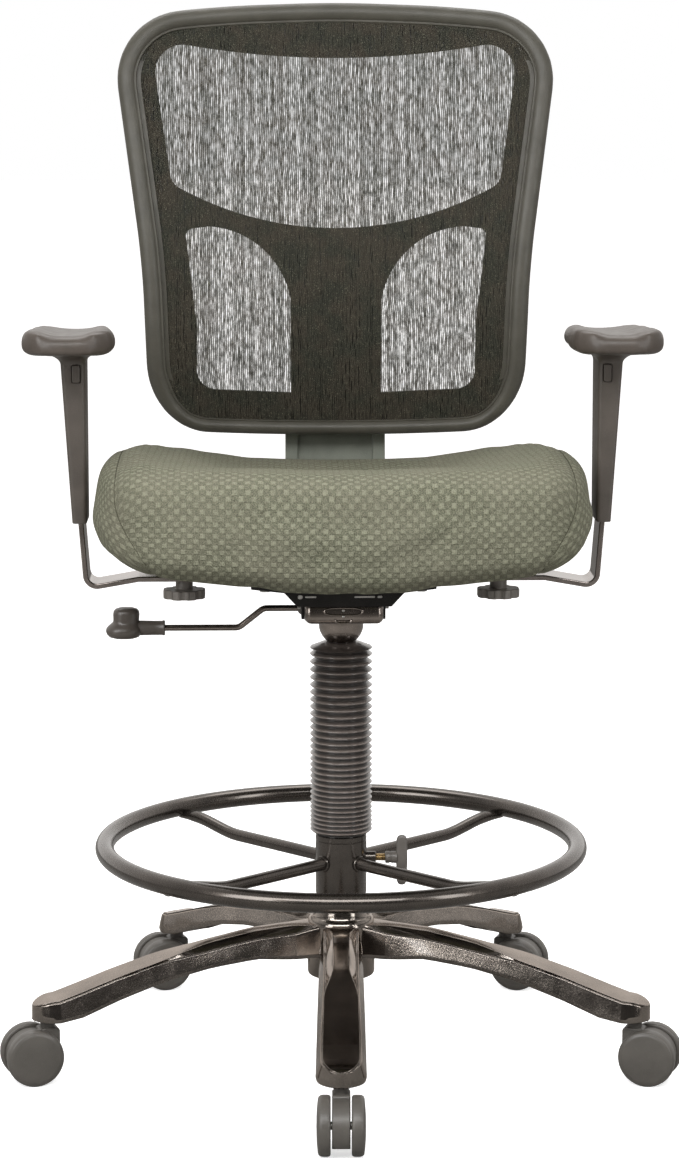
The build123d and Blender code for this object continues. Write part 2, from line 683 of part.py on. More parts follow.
save_in_base(foot_ring_hub.part, "foot_ring_hub")

with BuildPart() as clamp_screw:
    with BuildSketch(clamp_plane.offset(COLUMN_RADIUS + SEAT_GAP)):
        Circle(CLAMP_SCREW_RADIUS)
    extrude(amount=CLAMP_COLLAR_START - COLUMN_RADIUS - SEAT_GAP)
    chamfer(clamp_screw.edges().sort_by(Axis.X)[0], 1)
save_in_base(clamp_screw.part, "clamp_screw")

with BuildPart() as clamp_handle:
    with BuildSketch(clamp_plane.offset(CLAMP_COLLAR_START)):
        Circle(CLAMP_BOSS_RADIUS)
    extrude(amount=CLAMP_COLLAR_END - CLAMP_COLLAR_START)
    wing_width = CLAMP_WING_END - CLAMP_COLLAR_END
    with BuildSketch(Plane.XZ):
        with Locations((CLAMP_COLLAR_END + wing_width / 2, CLAMP_HEIGHT - CLAMP_WING_DROP)):
            RectangleRounded(wing_width, CLAMP_WING_SPAN, wing_width / 2 - 0.5)
    extrude(amount=CLAMP_WING_THICKNESS / 2, both=True)
save_in_base(clamp_handle.part, "clamp_handle")

# ---------------------------------------------------------------------------
# Tilt mechanism: case welded to the socket on the cylinder's taper, pivot, springs
# ---------------------------------------------------------------------------
case_floor_top = CASE_FLOOR + CASE_WALL
case_front = PLATE_FRONT + PLATE_LIP_THICKNESS + PLATE_LIP_CLEARANCE
case_outline = (
    (case_front, CASE_NOSE_FLOOR),
    (CASE_NOSE_END, CASE_FLOOR),
    (CASE_REAR, CASE_FLOOR),
    (CASE_REAR, CASE_REAR_TOP),
    (CASE_REST_END + 20, CASE_REST - 7),
    (CASE_REST_END, CASE_REST),
    (case_front, CASE_REST),
)
case_inside = (
    (case_front + CASE_WALL, CASE_NOSE_FLOOR + CASE_WALL),
    (CASE_NOSE_END, case_floor_top),
    (CASE_REAR - CASE_WALL, case_floor_top),
    (CASE_REAR - CASE_WALL, PLATE_BOTTOM + CASE_WALL),
    (case_front + CASE_WALL, PLATE_BOTTOM + CASE_WALL),
)
ball_plane = Plane(
    origin=(CASE_WALL / 2 - CASE_HALF_WIDTH, 0, LEVER_Z), x_dir=(0, 1, 0), z_dir=(-1, 0, 0)
)
with BuildPart() as tilt_case:
    with BuildSketch(Plane.YZ):
        Polygon(*case_outline, align=None)
    extrude(amount=CASE_HALF_WIDTH, both=True)
    with BuildSketch(Plane.YZ):
        Polygon(*case_inside, align=None)
    extrude(amount=CASE_HALF_WIDTH - CASE_WALL, both=True, mode=Mode.SUBTRACT)
    with BuildSketch(Plane.XZ):
        with BuildLine():
            Polyline(
                (0, SOCKET_BOTTOM),
                (CYLINDER_RADIUS + SOCKET_LIP, SOCKET_BOTTOM),
                (SOCKET_RADIUS - 2, SOCKET_BOTTOM + SOCKET_FLARE / 2),
                (SOCKET_RADIUS, SOCKET_BOTTOM + SOCKET_FLARE),
                (SOCKET_RADIUS, CYLINDER_TOP),
                (0, CYLINDER_TOP),
                close=True,
            )
        make_face()
    revolve(axis=Axis.Z)
    with BuildSketch(Plane.XZ):
        with BuildLine():
            Polyline(
                (0, SOCKET_BOTTOM),
                (CYLINDER_RADIUS + RUNNING, SOCKET_BOTTOM),
                (CYLINDER_RADIUS - CYLINDER_TAPER + RUNNING, CYLINDER_TOP),
                (0, CYLINDER_TOP),
                close=True,
            )
        make_face()
    revolve(axis=Axis.Z, mode=Mode.SUBTRACT)
    with BuildSketch(Plane.YZ):
        with Locations((PIVOT_Y, PIVOT_Z)):
            Circle(PIVOT_RADIUS + RUNNING)
    extrude(amount=2 * CASE_HALF_WIDTH, both=True, mode=Mode.SUBTRACT)
    with BuildSketch(ball_plane):
        Circle(LEVER_BALL + RUNNING)
    extrude(amount=CASE_WALL, both=True, mode=Mode.SUBTRACT)
    with BuildSketch(Plane.XZ.offset(-case_front - 1)):
        with Locations((0, (CASE_NOSE_FLOOR + CASE_REST) / 2 - 3)):
            SlotOverall(38, 7)
    extrude(amount=2, mode=Mode.SUBTRACT)
save(tilt_case.part, "tilt_case")

pivot_reach = CASE_HALF_WIDTH + SEAT_GAP + EAR_THICKNESS + SEAT_GAP
with BuildPart() as pivot_pin:
    with BuildSketch(Plane.YZ):
        with Locations((PIVOT_Y, PIVOT_Z)):
            Circle(PIVOT_RADIUS)
    extrude(amount=pivot_reach, both=True)
    for side in (-1, 1):
        with BuildSketch(Plane.YZ.offset(side * pivot_reach)):
            with Locations((PIVOT_Y, PIVOT_Z)):
                Circle(PIVOT_RADIUS + 3)
        extrude(amount=side * PIVOT_HEAD)
save(pivot_pin.part, "pivot_pin")

spring_length = SPRING_TURNS * SPRING_PITCH
spring_radius = PIVOT_RADIUS + SPRING_WIRE + SEAT_GAP
with BuildPart() as tilt_spring:
    for start, direction in ((SPRING_OFFSET, 1), (-SPRING_OFFSET, -1)):
        with BuildLine() as coil:
            Helix(
                SPRING_PITCH, spring_length, spring_radius,
                center=(start, PIVOT_Y, PIVOT_Z), direction=(direction, 0, 0),
            )
        with BuildSketch(Plane(origin=coil.line @ 0, z_dir=coil.line % 0)):
            Circle(SPRING_WIRE)
        sweep(path=coil.line, is_frenet=True)
save(tilt_spring.part, "tilt_spring")

# ---------------------------------------------------------------------------
# Height lever: a ball bush in the case's wall, the bent rod and its paddle
# ---------------------------------------------------------------------------
ball_x = CASE_WALL / 2 - CASE_HALF_WIDTH
with BuildPart() as lever_bush:
    with Locations((ball_x, 0, LEVER_Z)):
        Sphere(LEVER_BALL)
    with BuildSketch(ball_plane.offset(-LEVER_BALL)):
        Circle(LEVER_RADIUS + RUNNING)
    extrude(amount=2 * LEVER_BALL, mode=Mode.SUBTRACT)
save(lever_bush.part, "lever_bush")

with BuildPart() as lever_rod:
    with BuildLine(Plane.XZ) as rod_path:
        FilletPolyline(
            (LEVER_INNER, LEVER_Z),
            (-LEVER_KNEE, LEVER_Z),
            (-LEVER_FOOT, LEVER_LOW_Z),
            (-(PADDLE_NECK + PADDLE_OUTER) / 2, LEVER_LOW_Z),
            radius=11,
        )
    with BuildSketch(Plane(origin=rod_path.line @ 0, z_dir=rod_path.line % 0)):
        Circle(LEVER_RADIUS)
    sweep(path=rod_path.line)
save(lever_rod.part, "lever_rod")

paddle_mid = (PADDLE_NECK + PADDLE_OUTER) / 2
with BuildPart() as lever_paddle:
    with BuildSketch(Plane.YZ.offset(-PADDLE_INNER)):
        with Locations((0, LEVER_LOW_Z)):
            Circle(7.5)
    extrude(amount=-(PADDLE_NECK - PADDLE_INNER) - 4)
    with BuildSketch(Plane.XY.offset(PADDLE_BOTTOM)):
        with Locations((-paddle_mid, 0)):
            RectangleRounded(PADDLE_OUTER - PADDLE_NECK, 2 * PADDLE_HALF_DEPTH, 8)
    with BuildSketch(Plane.XY.offset(PADDLE_TOP - 6)):
        with Locations((-paddle_mid, 0)):
            RectangleRounded(PADDLE_OUTER - PADDLE_NECK - 12, 2 * PADDLE_HALF_DEPTH - 10, 8)
    loft()
    with BuildSketch(Plane.XY.offset(PADDLE_TOP - 6)):
        with Locations((-paddle_mid, 0)):
            RectangleRounded(PADDLE_OUTER - PADDLE_NECK - 12, 2 * PADDLE_HALF_DEPTH - 10, 8)
    extrude(amount=6, taper=35)
    add(lever_rod.part, mode=Mode.SUBTRACT)
save(lever_paddle.part, "lever_paddle")

# ---------------------------------------------------------------------------
# Seat: steel plate on the pivot, moulded pan, cushion and the bolts between them
# ---------------------------------------------------------------------------
plate_top = PLATE_BOTTOM + PLATE_THICKNESS
with BuildPart() as seat_plate:
    with BuildSketch(Plane.XY.offset(PLATE_BOTTOM)):
        with BuildLine():
            Polyline(
                (-PLATE_LIP_HALF_TOP, PLATE_FRONT),
                (PLATE_LIP_HALF_TOP, PLATE_FRONT),
                (PLATE_HALF_WIDTH, PLATE_FRONT + 24),
                (PLATE_HALF_WIDTH, PLATE_REAR),
                (-PLATE_HALF_WIDTH, PLATE_REAR),
                (-PLATE_HALF_WIDTH, PLATE_FRONT + 24),
                close=True,
            )
        make_face()
        with GridLocations(2 * BOLT_X, 2 * BOLT_Y, 2, 2):
            Circle(BOLT_RADIUS + RUNNING, mode=Mode.SUBTRACT)
    extrude(amount=PLATE_THICKNESS)
    with BuildSketch(Plane.XZ.offset(-PLATE_FRONT)):
        Polygon(
            (-PLATE_LIP_HALF_TOP, PLATE_BOTTOM),
            (-PLATE_LIP_HALF_BOTTOM, PLATE_BOTTOM - PLATE_LIP_DROP),
            (PLATE_LIP_HALF_BOTTOM, PLATE_BOTTOM - PLATE_LIP_DROP),
            (PLATE_LIP_HALF_TOP, PLATE_BOTTOM),
            align=None,
        )
    extrude(amount=-PLATE_LIP_THICKNESS)
    for side in (-1, 1):
        with BuildSketch(Plane.YZ.offset(side * (CASE_HALF_WIDTH + SEAT_GAP))):
            with Locations((PIVOT_Y, PLATE_BOTTOM - EAR_DROP / 2)):
                Rectangle(2 * EAR_HALF_LENGTH, EAR_DROP)
            with Locations((PIVOT_Y, PIVOT_Z)):
                Circle(PIVOT_RADIUS + RUNNING, mode=Mode.SUBTRACT)
        extrude(amount=side * EAR_THICKNESS)
save(seat_plate.part, "seat_plate")

seat_front_side = SEAT_FRONT + SEAT_FRONT_BOW
seat_rear_side = SEAT_REAR - SEAT_REAR_BOW
with BuildSketch(Plane.XY) as seat_outline:
    with BuildLine():
        ThreePointArc(
            (-SEAT_FRONT_HALF, seat_front_side),
            (0, SEAT_FRONT),
            (SEAT_FRONT_HALF, seat_front_side),
        )
        ThreePointArc(
            (SEAT_FRONT_HALF, seat_front_side),
            (SEAT_HALF_WIDTH, SEAT_WIDEST),
            (SEAT_REAR_HALF, seat_rear_side),
        )
        ThreePointArc((SEAT_REAR_HALF, seat_rear_side), (0, SEAT_REAR), (-SEAT_REAR_HALF, seat_rear_side))
        ThreePointArc(
            (-SEAT_REAR_HALF, seat_rear_side),
            (-SEAT_HALF_WIDTH, SEAT_WIDEST),
            (-SEAT_FRONT_HALF, seat_front_side),
        )
    make_face()
    fillet(seat_outline.vertices().group_by(Axis.Y)[0], SEAT_CORNER_FRONT)
    fillet(seat_outline.vertices().group_by(Axis.Y)[-1], SEAT_CORNER_REAR)

with BuildPart() as seat_pan:
    with BuildSketch(Plane.XY.offset(plate_top)):
        add(seat_outline.sketch)
        scale(by=1 - (PAN_INSET + PAN_DISH) / SEAT_HALF_WIDTH)
    with BuildSketch(Plane.XY.offset(plate_top + PAN_THICKNESS - PAN_RIM)):
        add(seat_outline.sketch)
        scale(by=1 - PAN_INSET / SEAT_HALF_WIDTH)
    loft()
    extrude(seat_pan.faces().sort_by(Axis.Z)[-1], amount=PAN_RIM)
    with BuildSketch(Plane.XY.offset(plate_top)):
        with GridLocations(2 * BOLT_X, 2 * BOLT_Y, 2, 2):
            Circle(BOLT_RADIUS + RUNNING)
        with Locations((-KNOB_X, ARM_Y), (KNOB_X, ARM_Y)):
            Circle(KNOB_STUD_RADIUS + RUNNING)
    extrude(amount=PAN_THICKNESS, mode=Mode.SUBTRACT)
save(seat_pan.part, "seat_pan")

with BuildPart() as seat_cushion:
    with BuildSketch(Plane.XY.offset(CUSHION_BOTTOM)):
        add(seat_outline.sketch)
    extrude(amount=CUSHION_SIDE_TOP - CUSHION_BOTTOM)
    fillet(seat_cushion.faces().sort_by(Axis.Z)[-1].edges(), CUSHION_TOP_ROUND)
    fillet(seat_cushion.faces().sort_by(Axis.Z)[0].edges(), CUSHION_BOTTOM_ROUND)
    with Locations((0, CUSHION_DISH_Y, CUSHION_CENTRE_TOP + CUSHION_DISH_RADIUS)):
        Cylinder(CUSHION_DISH_RADIUS, 1600, rotation=(90 - CUSHION_SLOPE, 0, 0), mode=Mode.SUBTRACT)
save(seat_cushion.part, "seat_cushion")

with BuildPart() as seat_bolts:
    with BuildSketch(Plane.XY.offset(PLATE_BOTTOM)):
        with GridLocations(2 * BOLT_X, 2 * BOLT_Y, 2, 2):
            Circle(BOLT_RADIUS)
    extrude(amount=BOLT_GRIP)
    with BuildSketch(Plane.XY.offset(PLATE_BOTTOM)):
        with GridLocations(2 * BOLT_X, 2 * BOLT_Y, 2, 2):
            RegularPolygon(BOLT_HEAD_RADIUS, 6)
    extrude(amount=-BOLT_HEAD)
save(seat_bolts.part, "seat_bolts")

# ---------------------------------------------------------------------------
# Back support: bar bent up behind the seat, its front cover and the sliding carriage
# ---------------------------------------------------------------------------
bar_mid_z = PLATE_BOTTOM - BAR_THICKNESS / 2
bar_top_y = BAR_BEND_Y + (BAR_TOP - bar_mid_z) * tan(radians(BAR_LEAN))
with BuildPart() as back_bar:
    with BuildLine(Plane.YZ) as bar_path:
        FilletPolyline(
            (BAR_START, bar_mid_z),
            (BAR_BEND_Y, bar_mid_z),
            (bar_top_y, BAR_TOP),
            radius=BAR_BEND_RADIUS,
        )
    with BuildSketch(Plane(origin=bar_path.line @ 0, x_dir=(1, 0, 0), z_dir=bar_path.line % 0)):
        Rectangle(2 * BAR_HALF_WIDTH, BAR_THICKNESS)
    sweep(path=bar_path.line)
save(back_bar.part, "back_bar")


def bar_y(height):
    """Middle of the leaning bar at a height above its bend."""
    return BAR_BEND_Y + (height - bar_mid_z) * tan(radians(BAR_LEAN))


bar_half = BAR_THICKNESS / 2 / cos(radians(BAR_LEAN))
cover_back_bottom = bar_y(COVER_BOTTOM) - bar_half
cover_back_top = bar_y(COVER_TOP) - bar_half
with BuildPart() as back_bar_cover:
    with BuildSketch(Plane.YZ):
        Polygon(
            (cover_back_bottom, COVER_BOTTOM),
            (cover_back_top, COVER_TOP),
            (cover_back_top - COVER_DEPTH, COVER_TOP),
            (cover_back_bottom - COVER_DEPTH, COVER_BOTTOM),
            align=None,
        )
    extrude(amount=COVER_HALF_WIDTH, both=True)
    with BuildSketch(Plane.YZ):
        Polygon(
            (cover_back_bottom - COVER_DEPTH, COVER_BOTTOM),
            (cover_back_top - COVER_DEPTH, COVER_TOP),
            (cover_back_top - COVER_DEPTH + COVER_PANEL_DEPTH, COVER_TOP),
            (cover_back_bottom - COVER_DEPTH + COVER_PANEL_DEPTH, COVER_BOTTOM),
            align=None,
        )
    extrude(amount=COVER_PANEL_HALF, both=True, mode=Mode.SUBTRACT)
save(back_bar_cover.part, "back_bar_cover")

# ---------------------------------------------------------------------------
# Back panel: curved shells cut to the frame's outline
# ---------------------------------------------------------------------------
upper_rise = UPPER_BACK - LUMBAR_Z
upper_lean = upper_rise / (LUMBAR_RADIUS**2 - upper_rise**2) ** 0.5


def back_y(height):
    """Front face of the mesh on the middle line at a height."""
    if height <= UPPER_BACK:
        return LUMBAR_Y + LUMBAR_RADIUS - (LUMBAR_RADIUS**2 - (height - LUMBAR_Z) ** 2) ** 0.5
    return back_y(UPPER_BACK) + (height - UPPER_BACK) * upper_lean


def curved_shell(front, thickness):
    """Return a doubly curved sheet whose front face lies `front` behind the mesh's front."""
    low = BACK_BOTTOM - 30
    high = BACK_TOP + 30
    with BuildPart() as shell:
        with BuildLine(Plane.YZ) as spine:
            ThreePointArc((back_y(low), low), (LUMBAR_Y, LUMBAR_Z), (back_y(UPPER_BACK), UPPER_BACK))
            Line((back_y(UPPER_BACK), UPPER_BACK), (back_y(high), high))
        with BuildSketch(Plane(origin=spine.line @ 0, x_dir=(1, 0, 0), z_dir=spine.line % 0)):
            with Locations((0, -WRAP_RADIUS)):
                Circle(WRAP_RADIUS + front + thickness)
                Circle(WRAP_RADIUS + front, mode=Mode.SUBTRACT)
            Rectangle(2 * BACK_HALF_TOP + 40, SHELL_SPAN, mode=Mode.INTERSECT)
        sweep(path=spine.line)
    return shell.part


def back_profile(side, top, bottom):
    """Return the back's front outline, moved in by these widths at its sides, top and bottom."""
    half_top = BACK_HALF_TOP - side
    half_waist = BACK_HALF_WAIST - side
    half_bottom = BACK_HALF_BOTTOM - side
    high = BACK_TOP_CORNER - top
    low = BACK_BOTTOM_CORNER + bottom
    with BuildSketch(Plane.XZ) as profile:
        with BuildLine():
            ThreePointArc((-half_top, high), (0, BACK_TOP - top), (half_top, high))
            Polyline((half_top, high), (half_waist, BACK_WAIST), (half_bottom, low))
            ThreePointArc((half_bottom, low), (0, BACK_BOTTOM + bottom), (-half_bottom, low))
            Polyline((-half_bottom, low), (-half_waist, BACK_WAIST), (-half_top, high))
        make_face()
        fillet(profile.vertices().group_by(Axis.Y)[-1], BACK_ROUND_TOP - side)
        fillet(profile.vertices().group_by(Axis.Y)[0], BACK_ROUND_BOTTOM - side)
    return profile.sketch_local


back_outline = back_profile(0, 0, 0)
back_opening = back_profile(RIM, RIM, RIM_BOTTOM)
mesh_outline = back_profile(RIM + SEAT_GAP, RIM + SEAT_GAP, RIM_BOTTOM + SEAT_GAP)

with BuildSketch(Plane.XZ) as back_windows:
    with BuildLine():
        ThreePointArc(
            (-WINDOW_HALF_TOP, WINDOW_TOP_SIDE), (0, WINDOW_TOP_MIDDLE), (WINDOW_HALF_TOP, WINDOW_TOP_SIDE)
        )
        Line((WINDOW_HALF_TOP, WINDOW_TOP_SIDE), (WINDOW_HALF_BOTTOM, WINDOW_BOTTOM_SIDE))
        ThreePointArc(
            (WINDOW_HALF_BOTTOM, WINDOW_BOTTOM_SIDE),
            (0, WINDOW_BOTTOM_MIDDLE),
            (-WINDOW_HALF_BOTTOM, WINDOW_BOTTOM_SIDE),
        )
        Line((-WINDOW_HALF_BOTTOM, WINDOW_BOTTOM_SIDE), (-WINDOW_HALF_TOP, WINDOW_TOP_SIDE))
    make_face()
    fillet(back_windows.vertices().group_by(Axis.Y)[-1], WINDOW_ROUND_TOP)
    fillet(back_windows.vertices().group_by(Axis.Y)[0], WINDOW_ROUND_BOTTOM)

with BuildSketch(Plane.XZ) as lower_window:
    with BuildLine():
        Line((LOWER_INNER, LOWER_BOTTOM), (LOWER_INNER, LOWER_SHOULDER))
        ThreePointArc(
            (LOWER_INNER, LOWER_SHOULDER),
            (0.72 * LOWER_INNER + 0.28 * LOWER_TOP_PEAK, 0.32 * LOWER_SHOULDER + 0.68 * LOWER_TOP - 4),
            (LOWER_TOP_PEAK, LOWER_TOP),
        )
        Polyline(
            (LOWER_TOP_PEAK, LOWER_TOP),
            (LOWER_OUTER_TOP, LOWER_TOP - 3),
            (LOWER_OUTER, LOWER_OUTER_KINK),
            (LOWER_OUTER, LOWER_BOTTOM_OUTER),
            (LOWER_INNER, LOWER_BOTTOM),
        )
    make_face()
    fillet(lower_window.vertices().sort_by(Axis.X)[-1], 8)
    fillet(lower_window.vertices().sort_by(Axis.Y)[0:2].sort_by(Axis.X)[-1], LOWER_ROUND)

with BuildPart() as back_frame:
    with BuildSketch(Plane.XZ):
        add(back_outline)
        add(back_opening, mode=Mode.SUBTRACT)
    extrude(amount=-2 * BAR_BEND_Y)
    add(curved_shell(FRAME_FRONT, FRAME_DEPTH), mode=Mode.INTERSECT)
save(back_frame.part, "back_frame")

with BuildPart() as back_grid:
    with BuildSketch(Plane.XZ):
        add(mesh_outline)
        add(back_windows.sketch_local, mode=Mode.SUBTRACT)
        add(lower_window.sketch_local, mode=Mode.SUBTRACT)
        mirror(lower_window.sketch_local, about=Plane.YZ, mode=Mode.SUBTRACT)
    extrude(amount=-2 * BAR_BEND_Y)
    add(curved_shell(GRID_FRONT, GRID_THICKNESS), mode=Mode.INTERSECT)
save(back_grid.part, "back_grid")

with BuildPart() as back_mesh:
    with BuildSketch(Plane.XZ):
        add(mesh_outline)
    extrude(amount=-2 * BAR_BEND_Y)
    add(curved_shell(0, MESH_SKIN), mode=Mode.INTERSECT)
save(back_mesh.part, "back_mesh")

with BuildPart() as back_carriage:
    carriage_back = bar_y(CARRIAGE_TOP) + bar_half + CARRIAGE_WALL
    with BuildSketch(Plane.XZ):
        with Locations((0, (CARRIAGE_BOTTOM + CARRIAGE_TOP) / 2)):
            RectangleRounded(2 * CARRIAGE_HALF_WIDTH, CARRIAGE_TOP - CARRIAGE_BOTTOM, 14)
    extrude(amount=-carriage_back)
    add(curved_shell(GRID_FRONT + GRID_THICKNESS, SHELL_SPAN), mode=Mode.INTERSECT)
    with BuildSketch(Plane.YZ):
        Polygon(
            (bar_y(CARRIAGE_BOTTOM - 60) - bar_half - SEAT_GAP, CARRIAGE_BOTTOM - 60),
            (bar_y(CARRIAGE_BOTTOM - 60) + bar_half + SEAT_GAP, CARRIAGE_BOTTOM - 60),
            (bar_y(CARRIAGE_TOP - 12) + bar_half + SEAT_GAP, CARRIAGE_TOP - 12),
            (bar_y(CARRIAGE_TOP - 12) - bar_half - SEAT_GAP, CARRIAGE_TOP - 12),
            align=None,
        )
    extrude(amount=BAR_HALF_WIDTH + SEAT_GAP, both=True, mode=Mode.SUBTRACT)
save(back_carriage.part, "back_carriage")

# ---------------------------------------------------------------------------
# Arms, built on the sitter's left (+X) and mirrored for the right
# ---------------------------------------------------------------------------
lean = tan(radians(ARM_LEAN))
bar_flat_z = plate_top - SEAT_GAP - ARM_BAR_THICKNESS / 2
upright_top_x = ARM_CORNER_X + (ARM_BAR_TOP - ARM_CORNER_Z) * lean
slot_length = ARM_WIDTH_TRAVEL + 2 * (KNOB_STUD_RADIUS + ARM_SLOT_PLAY)
with BuildPart() as arm_bar:
    with BuildLine(Plane.XZ.offset(-ARM_Y)) as arm_path:
        FilletPolyline(
            (ARM_BAR_INNER, bar_flat_z),
            (ARM_BAR_RISE, bar_flat_z),
            (ARM_CORNER_X, ARM_CORNER_Z),
            (upright_top_x, ARM_BAR_TOP),
            radius=ARM_BEND,
        )
    with BuildSketch(Plane(origin=arm_path.line @ 0, x_dir=(0, 1, 0), z_dir=arm_path.line % 0)):
        Rectangle(ARM_BAR_WIDTH, ARM_BAR_THICKNESS)
    sweep(path=arm_path.line)
    with BuildSketch(Plane.XY.offset(bar_flat_z - ARM_BAR_THICKNESS)):
        with Locations((KNOB_X - ARM_WIDTH_TRAVEL / 2, ARM_Y)):
            SlotOverall(slot_length, 2 * (KNOB_STUD_RADIUS + ARM_SLOT_PLAY))
    extrude(amount=2 * ARM_BAR_THICKNESS, mode=Mode.SUBTRACT)

with BuildPart() as arm_knob:
    with BuildSketch(Plane.XY.offset(KNOB_BOTTOM)):
        with Locations((KNOB_X, ARM_Y)):
            Circle(KNOB_RADIUS)
            with PolarLocations(KNOB_RADIUS + 2.5, KNOB_LOBES):
                Circle(5, mode=Mode.SUBTRACT)
    extrude(amount=KNOB_THICKNESS)
    knob_top = KNOB_BOTTOM + KNOB_THICKNESS
    with BuildSketch(Plane.XY.offset(knob_top)):
        with Locations((KNOB_X, ARM_Y)):
            Circle(KNOB_NECK_RADIUS)
    extrude(amount=bar_flat_z - ARM_BAR_THICKNESS / 2 - SEAT_GAP - knob_top)
    with BuildSketch(Plane.XY.offset(knob_top)):
        with Locations((KNOB_X, ARM_Y)):
            Circle(KNOB_STUD_RADIUS)
    extrude(amount=KNOB_STUD_TOP - knob_top)

sleeve_front = ARM_Y - SLEEVE_TOP_DEPTH / 2
button_front = sleeve_front - BUTTON_PROUD
channel_low_x = ARM_CORNER_X + (SLEEVE_BOTTOM - 20 - ARM_CORNER_Z) * lean
channel_plane = Plane(
    origin=(channel_low_x, ARM_Y, SLEEVE_BOTTOM - 20), x_dir=(0, 1, 0), z_dir=(lean, 0, 1)
)
pad_plane = Plane(
    origin=(PAD_X, PAD_Y, PAD_BOTTOM),
    x_dir=(1, 0, 0),
    z_dir=(0, sin(radians(PAD_SLOPE)), cos(radians(PAD_SLOPE))),
)
with BuildPart() as arm_sleeve:
    with BuildSketch(Plane.XY.offset(SLEEVE_BOTTOM)):
        with Locations((SLEEVE_INNER_X + SLEEVE_BOTTOM_WIDTH / 2, ARM_Y)):
            RectangleRounded(SLEEVE_BOTTOM_WIDTH, SLEEVE_BOTTOM_DEPTH, 4)
    with BuildSketch(Plane.XY.offset(SLEEVE_TOP)):
        with Locations((SLEEVE_INNER_X + SLEEVE_TOP_WIDTH / 2, ARM_Y)):
            RectangleRounded(SLEEVE_TOP_WIDTH, SLEEVE_TOP_DEPTH, 4)
    loft()
    with BuildSketch(Plane.XY.offset(SLEEVE_TOP)):
        with Locations((SLEEVE_INNER_X + SLEEVE_TOP_WIDTH / 2, ARM_Y)):
            RectangleRounded(SLEEVE_TOP_WIDTH, SLEEVE_TOP_DEPTH, 4)
    with BuildSketch(pad_plane.offset(-SEAT_GAP)):
        with Locations((0, ARM_Y - PAD_Y)):
            RectangleRounded(NECK_WIDTH, NECK_DEPTH, 18)
    loft()
    with BuildSketch(channel_plane):
        Rectangle(ARM_BAR_WIDTH + 2 * SEAT_GAP, ARM_BAR_THICKNESS + 2 * SEAT_GAP)
    extrude(amount=ARM_BAR_TOP - SLEEVE_BOTTOM + 24, mode=Mode.SUBTRACT)
    with BuildSketch(Plane.XZ.offset(-button_front)):
        with Locations((BUTTON_X, BUTTON_Z)):
            RectangleRounded(BUTTON_WIDTH + 2 * SEAT_GAP, BUTTON_HEIGHT + 2 * SEAT_GAP, 2)
    extrude(amount=-BUTTON_DEPTH - BUTTON_TRAVEL - SEAT_GAP, mode=Mode.SUBTRACT)

with BuildPart() as arm_button:
    with BuildSketch(Plane.XZ.offset(-button_front)):
        with Locations((BUTTON_X, BUTTON_Z)):
            RectangleRounded(BUTTON_WIDTH, BUTTON_HEIGHT, 2)
    extrude(amount=-BUTTON_DEPTH)

with BuildPart() as arm_pad:
    pad_end = Plane(origin=pad_plane.origin, x_dir=(1, 0, 0), z_dir=-pad_plane.y_dir)
    with BuildSketch(pad_end) as pad_section:
        with BuildLine():
            ThreePointArc((-PAD_HALF_WIDTH, PAD_EDGE), (0, PAD_MIDDLE), (PAD_HALF_WIDTH, PAD_EDGE))
            Polyline(
                (PAD_HALF_WIDTH, PAD_EDGE),
                (PAD_HALF_WIDTH, PAD_CHAMFER),
                (PAD_HALF_WIDTH - 2 * PAD_CHAMFER, 0),
                (2 * PAD_CHAMFER - PAD_HALF_WIDTH, 0),
                (-PAD_HALF_WIDTH, PAD_CHAMFER),
                (-PAD_HALF_WIDTH, PAD_EDGE),
            )
        make_face()
        fillet(pad_section.vertices().group_by(Axis.Y)[-1], PAD_SIDE_ROUND)
    extrude(amount=PAD_LENGTH / 2, both=True)
    with BuildSketch(pad_plane):
        RectangleRounded(2 * PAD_HALF_WIDTH, PAD_LENGTH, PAD_CORNER)
    extrude(amount=PAD_EDGE, mode=Mode.INTERSECT)

for side, across in (("left", False), ("right", True)):
    for piece, kind in (
        (arm_bar.part, "bar"),
        (arm_knob.part, "width_knob"),
        (arm_sleeve.part, "sleeve"),
        (arm_button.part, "height_button"),
        (arm_pad.part, "pad"),
    ):
        save(mirror(piece, about=Plane.YZ) if across else piece, f"arm_{side}_{kind}")
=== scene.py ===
"""Looks of the drafting chair: finishes, modelled pieces, soft goods and the studio.

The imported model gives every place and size, and the pieces made here stand on it. Sizes in this
file are millimetres; make_piece turns a finished mesh into the frame's metres. FAR is a distance
outside every part, from which rays start. WELD, in metres, and FLAT_ANGLE, in degrees, say which
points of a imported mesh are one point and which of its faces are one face.
"""

import json
import logging
import math
from collections.abc import Callable, Sequence
from dataclasses import dataclass
from enum import Enum

import bmesh
import bpy
from mathutils import Matrix, Vector
from mathutils.bvhtree import BVHTree

